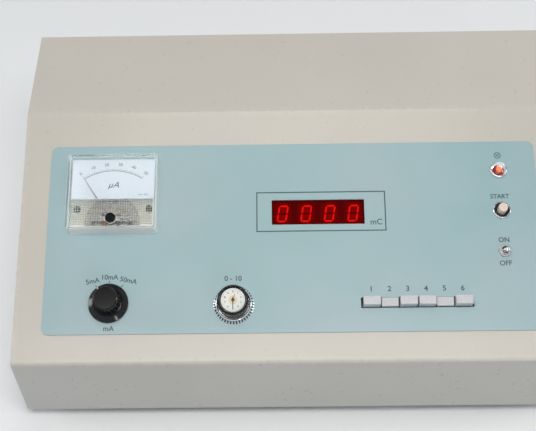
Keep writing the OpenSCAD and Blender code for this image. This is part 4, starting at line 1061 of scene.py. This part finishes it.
# %% Finishes of the digits
DIGIT_PITCH = 16.8
OVAL_WIDE, OVAL_HIGH = 5.6, 8.6  # half-axes of the glow
bar_light = Finish("lit_bar", ink(255, 60, 34), 0.4)
bar_light.glow((1.0, 0.22, 0.16, 1), bar_light.between(bar_light.noise(1.2, 2), 1.6, 2.4))
bar_dark = Finish("unlit_bar", ink(96, 14, 14), 0.45)
bar_dark.blend(bar_dark.between(bar_dark.noise(2.0, 2), 0, 0.6), ink(70, 8, 9))
block_face = Finish("digit_block", ink(58, 7, 8), 0.4)
block_x, block_s = block_face.axes(block_face.slope_place())[:2]
steps = block_face.sum("DIVIDE", block_face.sum("SUBTRACT", block_x, DISPLAY[0] * MM), DIGIT_PITCH * MM)
cell = block_face.sum("SUBTRACT", block_face.sum("FRACT", steps), 0.5)
oval = block_face.length(
    block_face.sum("MULTIPLY", cell, DIGIT_PITCH / OVAL_WIDE),
    block_face.sum("DIVIDE", block_face.sum("SUBTRACT", block_s, DISPLAY[1] * MM), OVAL_HIGH * MM),
)
# The painted glow is strongest in an oval round each figure and faint over the rest of the block's face.
block_face.glow((1.0, 0.012, 0.01, 1), block_face.between(oval, 0.4, 0.06, 0.2, 1.2))
block_face.gloss(block_face.noise(1.0, 3), 0.3, 0.5)


# %% Digits and window
BLOCK_TOP = -2.55
MIDDLE_X, MIDDLE_S = 2.9, 0.65
POINT_X, POINT_S = 3.6, -4


def bar_finish(face):
    """0 for the block, 1 for a lit bar and 2 for a dark one."""
    x, s, h = from_slope(face.center)
    if h < BLOCK_TOP:
        return 0
    x = (x - DISPLAY[0]) % DIGIT_PITCH - DIGIT_PITCH / 2
    s -= DISPLAY[1]
    in_middle = abs(s) < MIDDLE_S and abs(x) < MIDDLE_X
    in_point = x > POINT_X and s < POINT_S
    return 2 if in_middle or in_point else 1


dressed("display_digits", block_face, bar_light, bar_dark, edge=0.04, rounds=1, choose=bar_finish)
red_window = worn(
    "red_window", (112, 2, 4), 0.1, patches=(0.3, 4, 0.4), other=(98, 2, 4),
    sheen=(0.4, 5, 0.06, 0.14), Specular_IOR_Level=0.15,
)
red_window.share_with(red_window.node("ShaderNodeBsdfTransparent", Color=(1.0, 0.2, 0.16, 1)), 0.55)
coated(red_window, "display_filter")

# %% [markdown]
# ## Range knob
# A fluted black knob on a dished skirt, pointing at the smallest range. A white line fills the groove in
# its skirt. The knob is turned and milled in the CAD, so here it gets soft edges, a deep gloss with
# hairline scuffs, and the filled line as a piece that turns with it.

# %% Range knob
dressed("range_knob", polished_black("knob_black", 0.12), edge=0.22, rounds=2, corner=24)
line_white = worn(
    "pointer_white", (232, 234, 232), 0.5, patches=(2.0, 3, 0.6), other=(205, 206, 202),
    sheen=(1.5, 2, 0.4, 0.6),
)
SKIRT_R, ROOT_R, RIM_H, CONE_H = 14.0, 10.7, 1.7, 2.5
LINE_W, LINE_H, SUNK, CUT_BACK = 0.94, 0.22, 0.24, 0.5
cone_lean = math.atan2(CONE_H, SKIRT_R - ROOT_R)
cone_length = math.hypot(CONE_H, SKIRT_R - ROOT_R)
line_place = (
    on_slope(*RANGE_KNOB, PLATE, STEP)
    @ Matrix.Translation(Vector((0, (SKIRT_R + ROOT_R) / 2, RIM_H + CONE_H / 2)) * MM)
    @ Matrix.Rotation(-cone_lean, 4, "X")
    @ Matrix.Translation((0, 0, -SUNK * MM))
)
line_reach = cone_length / 2 - CUT_BACK
pointer = bmesh.new()
stroke(pointer, (0, -line_reach), (0, line_reach), LINE_W, line_place, LINE_H)
piece("range_pointer_line", print_mesh(pointer), "range_control", "face_white", line_white)

# %% [markdown]
# ## Turns dial
# A ten-turn dial: a black milled knob in a bright ring, with a clock face under its lens. The long hand
# shows tenths of a turn and the short hand whole turns, so they ride on different bodies and the joints'
# coupling keeps them together. The ring's foot is milled. It is turned here on a lathe of points, every
# fourth point is pushed inwards, and the grooves get a darker finish, since no light reaches into them.

# %% Chrome and the shade in its grooves
chrome = worn(
    "bright_chrome", (226, 228, 230), 0.06, patches=(0.5, 4, 0.3), other=(200, 202, 204),
    sheen=(1.5, 5, 0.03, 0.1), tooth=(0.25, 2, 0.01, 0.3), Metallic=1.0,
)
flute_shade = worn(
    "flute_shade", (58, 60, 63), 0.22, patches=(1.0, 4, 0.5), other=(84, 86, 88),
    sheen=(2.0, 3, 0.16, 0.34), Metallic=0.9,
)

# %% Ring with its milled rim
FLUTES, STEPS_PER_FLUTE, FLUTE_DEPTH = 40, 4, 0.32
STEPS = FLUTES * STEPS_PER_FLUTE
SHOULDER_R = 12.55  # the milling stays outside it
GROOVE_LOW, GROOVE_HIGH = 0.7, 3.1
foot = [(4.7, 0.0), (13.9, 0.0), (14.0, 0.1)]
shoulder = [(14 - 0.17 * i, 0.8 + 0.14 * i + 0.004 * i * i) for i in range(9)]
lip = [(12.5, 3.2), (12.42, 4.5), (12.2, 4.86), (11.9, 5.0), (11.5, 4.9), (11.22, 4.5)]
ring_bore = [(11.2, 0.8), (4.7, 0.8), (4.7, 0.0)]
ring_mesh = lathe(foot + shoulder + lip + ring_bore, STEPS)
for corner_point in ring_mesh.vertices:
    out_by = math.hypot(corner_point.co.x, corner_point.co.y) / MM
    step = round(math.atan2(corner_point.co.y, corner_point.co.x) / math.tau * STEPS)
    if out_by > SHOULDER_R and corner_point.co.z > 0.5 * MM and step % STEPS_PER_FLUTE == 0:
        corner_point.co.xy *= 1 - FLUTE_DEPTH / out_by
ring_mesh.transform(on_slope(*TURNS_DIAL, PLATE))
ring = piece(
    "turns_ring_finished", ring_mesh, body_with["turns_ring"], slot_with["turns_ring"],
    chrome, flute_shade, corner=35
)
for face in ring_mesh.polygons:
    x, s, h = from_slope(face.center, *TURNS_DIAL, PLATE)
    step = math.floor(math.atan2(s, x) / math.tau * STEPS) % STEPS_PER_FLUTE
    beside_groove = step in (0, STEPS_PER_FLUTE - 1)
    face.material_index = int(beside_groove and GROOVE_LOW < h < GROOVE_HIGH and math.hypot(x, s) > 12)
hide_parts("turns_ring")

# %% Knob, lens and clock face
dressed("turns_knob", polished_black("turns_knob_black", 0.2), edge=0.1, rounds=2, corner=28)
lens_clear = clear_acrylic("lens_acrylic", (0.96, 0.98, 0.98), 0.01, 0.92)
dressed("turns_lens", lens_clear, edge=0.2, rounds=3)
face_white = Finish("clock_face", ink(214, 214, 212), 0.5)
face_x, face_s = face_white.axes(face_white.slope_place())[:2]
out_from_middle = face_white.length(
    face_white.sum("SUBTRACT", face_x, TURNS_DIAL[0] * MM),
    face_white.sum("SUBTRACT", face_s, TURNS_DIAL[1] * MM),
)
CREAM_R = 3.0
cream = face_white.between(out_from_middle, 0.75, 0.0, CREAM_R * MM, (CREAM_R + 0.3) * MM)
tinted = face_white.blend(cream, ink(204, 186, 150))
face_white.blend(face_white.between(face_white.noise(1.6, 3), 0, 0.3), ink(196, 196, 195), tinted)
face_white.gloss(face_white.noise(1.2, 3), 0.42, 0.6)
dressed("turns_face", face_white, edge=0.06)

# %% Print and hands
FACE_TOP = PLATE + 13.9
NUMERAL_R = 5.7
clock = bmesh.new()
for i in range(10):
    turned = on_slope(*TURNS_DIAL, FACE_TOP, -STEP * i)
    upright = Matrix.Rotation(math.radians(STEP * i), 4, "Z")
    spot = turned @ Matrix.Translation((0, NUMERAL_R * MM, 0)) @ upright
    lettering(clock, str(i), 1.45, spot, bold=0.03)
ticks_rule.values.update(
    Count=51, Radius=7.1 * MM, Sweep=math.pi, Minor=0.5 * MM, Major=0.95 * MM, Width=0.1 * MM, Every=5
)
clock_ticks = ticks_rule.grown()
clock_ticks.transform(on_slope(*TURNS_DIAL, FACE_TOP))
clock.from_mesh(clock_ticks)
piece("clock_print", print_mesh(clock), "case", "face_white", dial_ink)
hand_black = worn(
    "hand_black", (26, 27, 30), 0.4, patches=(2.0, 3, 0.5), other=(46, 47, 51),
    sheen=(3.0, 2, 0.32, 0.5),
)
hand_brass = worn(
    "hand_brass", (196, 160, 88), 0.3, patches=(2.0, 3, 0.5), other=(150, 116, 58),
    sheen=(2.5, 3, 0.22, 0.42), Metallic=0.9,
)
dressed("fraction_hand", hand_black, edge=0.04)
dressed("turns_hand", hand_brass, edge=0.04)

# %% [markdown]
# ## Keys
# Six light grey key caps stand in one slot. The second and the fifth are latched down. Each cap rides on
# its own body. A moulded cap has a soft edge of half a millimetre, a satin gloss that varies a little over
# it, and some handling marks on its crown. Where three edges meet, the Bevel leaves a few points almost on
# top of each other, so these caps are welded before they are shaded.

# %% Key caps
key_grey = worn(
    "key_grey", (208, 209, 213), 0.36, patches=(0.35, 4, 0.4), other=(190, 191, 197),
    sheen=(0.8, 4, 0.26, 0.46), tooth=(3.2, 2, 0.012, 0.5),
)
natural = worn(
    "natural_moulding", (226, 220, 204), 0.5, patches=(0.3, 3, 0.6), other=(206, 199, 181),
    sheen=(1.0, 3, 0.42, 0.62), tooth=(2.5, 2, 0.015, 0.5),
)
for i in range(1, 7):
    dressed("key_cap_%d" % i, key_grey, edge=0.6, rounds=3, weld=0.004)
coated(natural, "key_switches", *("key_plunger_%d" % i for i in range(1, 7)))

# %% [markdown]
# ## Switch column
# A lit indicator in a bright cone, a push button in a bright ring and a small lever switch with its nut.
# The bright parts are chrome, so they show the room. The lamp is its own light: brightest at the crown of
# its dome, deeper orange at its foot.

# %% Indicator
DOME_FOOT, DOME_TOP = PLATE + 1.4, PLATE + 3.6
lamp_orange = Finish("lit_lamp", ink(96, 16, 14), 0.18, Coat_Weight=0.6)
lamp_h = lamp_orange.axes(lamp_orange.slope_place())["Z"]
dome = lamp_orange.between(lamp_h, 0.0, 1.0, DOME_FOOT * MM, DOME_TOP * MM)
lamp_orange.blend(dome, ink(255, 92, 32))
crown = lamp_orange.sum("POWER", dome, 1.6)
flicker = lamp_orange.between(lamp_orange.noise(0.8, 2), 1.2, 1.6)
lamp_orange.glow(
    lamp_orange.mixed(crown, (1.0, 0.035, 0.006), (1.0, 0.17, 0.03)),
    lamp_orange.sum("MULTIPLY", flicker, lamp_orange.sum("MULTIPLY_ADD", crown, 0.95, 0.05)),
)
coated(lamp_orange, "indicator_led")
dressed("indicator_bezel", chrome, edge=0.12, rounds=2)

# %% Push button
PUSH_S = 107.4
SHADE_WELL_R = 5.3  # inside it, the bezel is in shade
button_cream = worn(
    "button_cream", (240, 222, 208), 0.3, patches=(0.5, 4, 0.6), other=(226, 204, 188),
    sheen=(1.0, 4, 0.2, 0.42), tooth=(3.0, 2, 0.01, 0.4), Coat_Weight=0.3,
)


def bezel_finish(face):
    """1 for the well inside the push button's bright ring, painted black as shade."""
    x, s = from_slope(face.center).xy
    return int(math.hypot(x - COLUMN, s - PUSH_S) < SHADE_WELL_R)


# Inside the well the chrome gives way to black moulding: painted shade.
dressed("push_bezel", chrome, black_moulding, edge=0.12, rounds=2, choose=bezel_finish)
dressed("push_button", button_cream, edge=0.35, rounds=3)
coated(black_moulding, "push_switch")

# %% Lever switch and nuts
toggle_red = worn(
    "toggle_body", (178, 38, 40), 0.35, patches=(0.5, 3, 0.5), other=(146, 26, 28),
    sheen=(1.0, 3, 0.28, 0.45),
)
NECK_H = -1.4  # above it, the switch is plated
dressed(
    "toggle_switch", toggle_red, plated_steel, edge=0.12,
    choose=lambda face: int(from_slope(face.center).z > NECK_H),
)
dressed("toggle_lever", chrome, edge=0.08, corner=40)
dressed("panel_nuts", plated_steel, edge=0.18)

# %% [markdown]
# ## Rear
# The rear panel carries the mains inlet, a rocker switch, a fuse holder and two pairs of sockets. In each
# pair one socket is red and one black, with a plated sleeve in its bore, whose faces are told apart by their
# distance from the bore. Plus and minus signs and the rocker's marks are plain thin print.

# %% Mains parts
INLET_X, FACE_HALF = 132, 20
dressed(
    "mains_inlet", black_moulding, plated_steel, edge=0.25,
    choose=lambda face: int(abs(face.center.x - INLET_X * MM) > FACE_HALF * MM),
)
dressed("mains_switch", black_moulding, edge=0.3)
dressed("mains_rocker", black_moulding, edge=0.4, rounds=3)
dressed("fuse_holder", black_moulding, edge=0.3)
dressed("fuse_cap", black_moulding, edge=0.2)

# %% Electrode sockets
socket_red = worn(
    "socket_red", (168, 32, 30), 0.3, patches=(0.5, 3, 0.5), other=(138, 22, 22),
    sheen=(1.0, 3, 0.22, 0.42),
)
SOCKET_X = (-119.5, -100.5, -64.5, -45.5)
SOCKET_Z = 70
SLEEVE_R = 2.5


def socket_finish(face):
    """0 red, 1 black, 2 the plated sleeve."""
    nearest = min(SOCKET_X, key=lambda middle: abs(middle - face.center.x / MM))
    axis = Vector((nearest, SOCKET_Z)) * MM
    corners = [face.id_data.vertices[i].co for i in face.vertices]
    widest = max((Vector((c.x, c.z)) - axis).length for c in corners)
    return 2 if widest < SLEEVE_R * MM else SOCKET_X.index(nearest) % 2


dressed(
    "electrode_sockets", socket_red, black_moulding, plated_steel, edge=0.3, choose=socket_finish
)

# %% Rear print
SIGN_Z, OVER_Z = 73, 54
rear_print = bmesh.new()
for i, x in enumerate(SOCKET_X):
    sign = on_rear(x, SIGN_Z)
    stroke(rear_print, (-1.4, 0), (1.4, 0), 0.6, sign)
    if i % 2 == 0:
        stroke(rear_print, (0, -1.4), (0, 1.4), 0.6, sign, INK_H * 0.9)
for x, z, words in (
    (-110, SIGN_Z, "1"), (-55, SIGN_Z, "2"), (162, OVER_Z, "I"), (162, 22, "O"), (INLET_X, OVER_Z, "~")
):
    lettering(rear_print, words, 3.6, on_rear(x, z), bold=0.08)
mark_ink = worn(
    "rear_ink", (52, 54, 56), 0.5, patches=(2.4, 3, 0.4), other=(82, 84, 86),
    sheen=(1.5, 2, 0.4, 0.6),
)
piece("rear_print", print_mesh(rear_print), "case", "case_paint", mark_ink)

# %% [markdown]
# ## Inside
# Little of the inside shows, only through the vents and the slot of the keys, but each piece has its own
# finish. Boards have a green mask over woven glass, the transformer shows its stacked sheets as fine
# lines, and the switch wafers are tan resin paper.

# %% Boards and transformer
board_green = Finish("board_green", ink(44, 104, 58), 0.32, Coat_Weight=0.3)
weave = board_green.node("ShaderNodeTexBrick", Vector=board_green.place, Scale=0.9 / MM)
board_green.blend(board_green.between(weave.outputs["Fac"], 0, 0.25, 0, 1), ink(30, 82, 44))
board_green.gloss(board_green.noise(0.8, 3), 0.26, 0.42)
coated(board_green, "display_board", "main_board")
core_steel = Finish("stacked_sheets", ink(112, 107, 99), 0.5, Metallic=0.5)
sheets = core_steel.node(
    "ShaderNodeTexWave", Vector=core_steel.place, Scale=0.32 / MM, settings=[("bands_direction", "Y")]
)
core_steel.blend(sheets.outputs["Fac"], ink(78, 73, 66))
core_steel.gloss(core_steel.noise(0.6, 4), 0.42, 0.65)
core_steel.relief(sheets.outputs["Fac"], 0.1, 0.7)
coated(core_steel, "transformer")

# %% Controls and plated parts behind the plate
resin_paper = worn(
    "resin_paper", (196, 180, 148), 0.5, patches=(0.5, 4, 0.8), other=(164, 142, 106),
    sheen=(1.2, 3, 0.4, 0.6),
)
pot_blue = worn(
    "pot_blue", (43, 79, 134), 0.4, patches=(0.5, 3, 0.6), other=(33, 62, 108),
    sheen=(1.0, 3, 0.32, 0.5),
)
turned_metal = worn(
    "turned_spacer", (184, 186, 189), 0.3, patches=(0.8, 4, 0.5), other=(158, 160, 163),
    sheen=(2.0, 3, 0.2, 0.4), drawn=(1, 1, 8), Metallic=1.0,
)
coated(resin_paper, "range_switch")
coated(pot_blue, "turns_pot")
coated(turned_metal, "board_spacers")
coated(plated_steel, "range_spindle", "turns_spindle", "key_frame", "latch_bar")

# %% [markdown]
# ## Floor
# The floor is a wide pale sheet, so its edge never shows. Far from the case it fades into the backdrop.

# %% Floor
FLOOR_REACH, FADE_FROM, FADE_TO = 6.0, 0.45, 1.3
floor_paint = Finish("floor", ink(218, 227, 236), 0.75)
drifting = floor_paint.blend(floor_paint.between(floor_paint.noise(0.004, 3), 0, 0.5), ink(212, 222, 232))
watched = floor_paint.node("ShaderNodeLightPath").outputs["Is Camera Ray"]
floor_paint.blend(watched, ink(250, 252, 255), drifting)
away = floor_paint.length(*floor_paint.axes(floor_paint.place)[:2])
fading = floor_paint.between(away, 0.0, 1.0, FADE_FROM, FADE_TO)
distant = floor_paint.sum("MULTIPLY", fading, watched)
cove = floor_paint.node("ShaderNodeEmission", Color=BACKDROP, Strength=1.0)
floor_paint.share_with(cove, distant)
floor_paint.gloss(floor_paint.noise(0.02, 3), 0.7, 0.85)
floor_mesh = bpy.data.meshes.new("floor")
signs = ((-1, -1), (1, -1), (1, 1), (-1, 1))
floor_mesh.from_pydata([(x * FLOOR_REACH, y * FLOOR_REACH, 0) for x, y in signs], [], [(0, 1, 2, 3)])
floor_mesh.materials.append(floor_paint.material)
put("floor", floor_mesh)
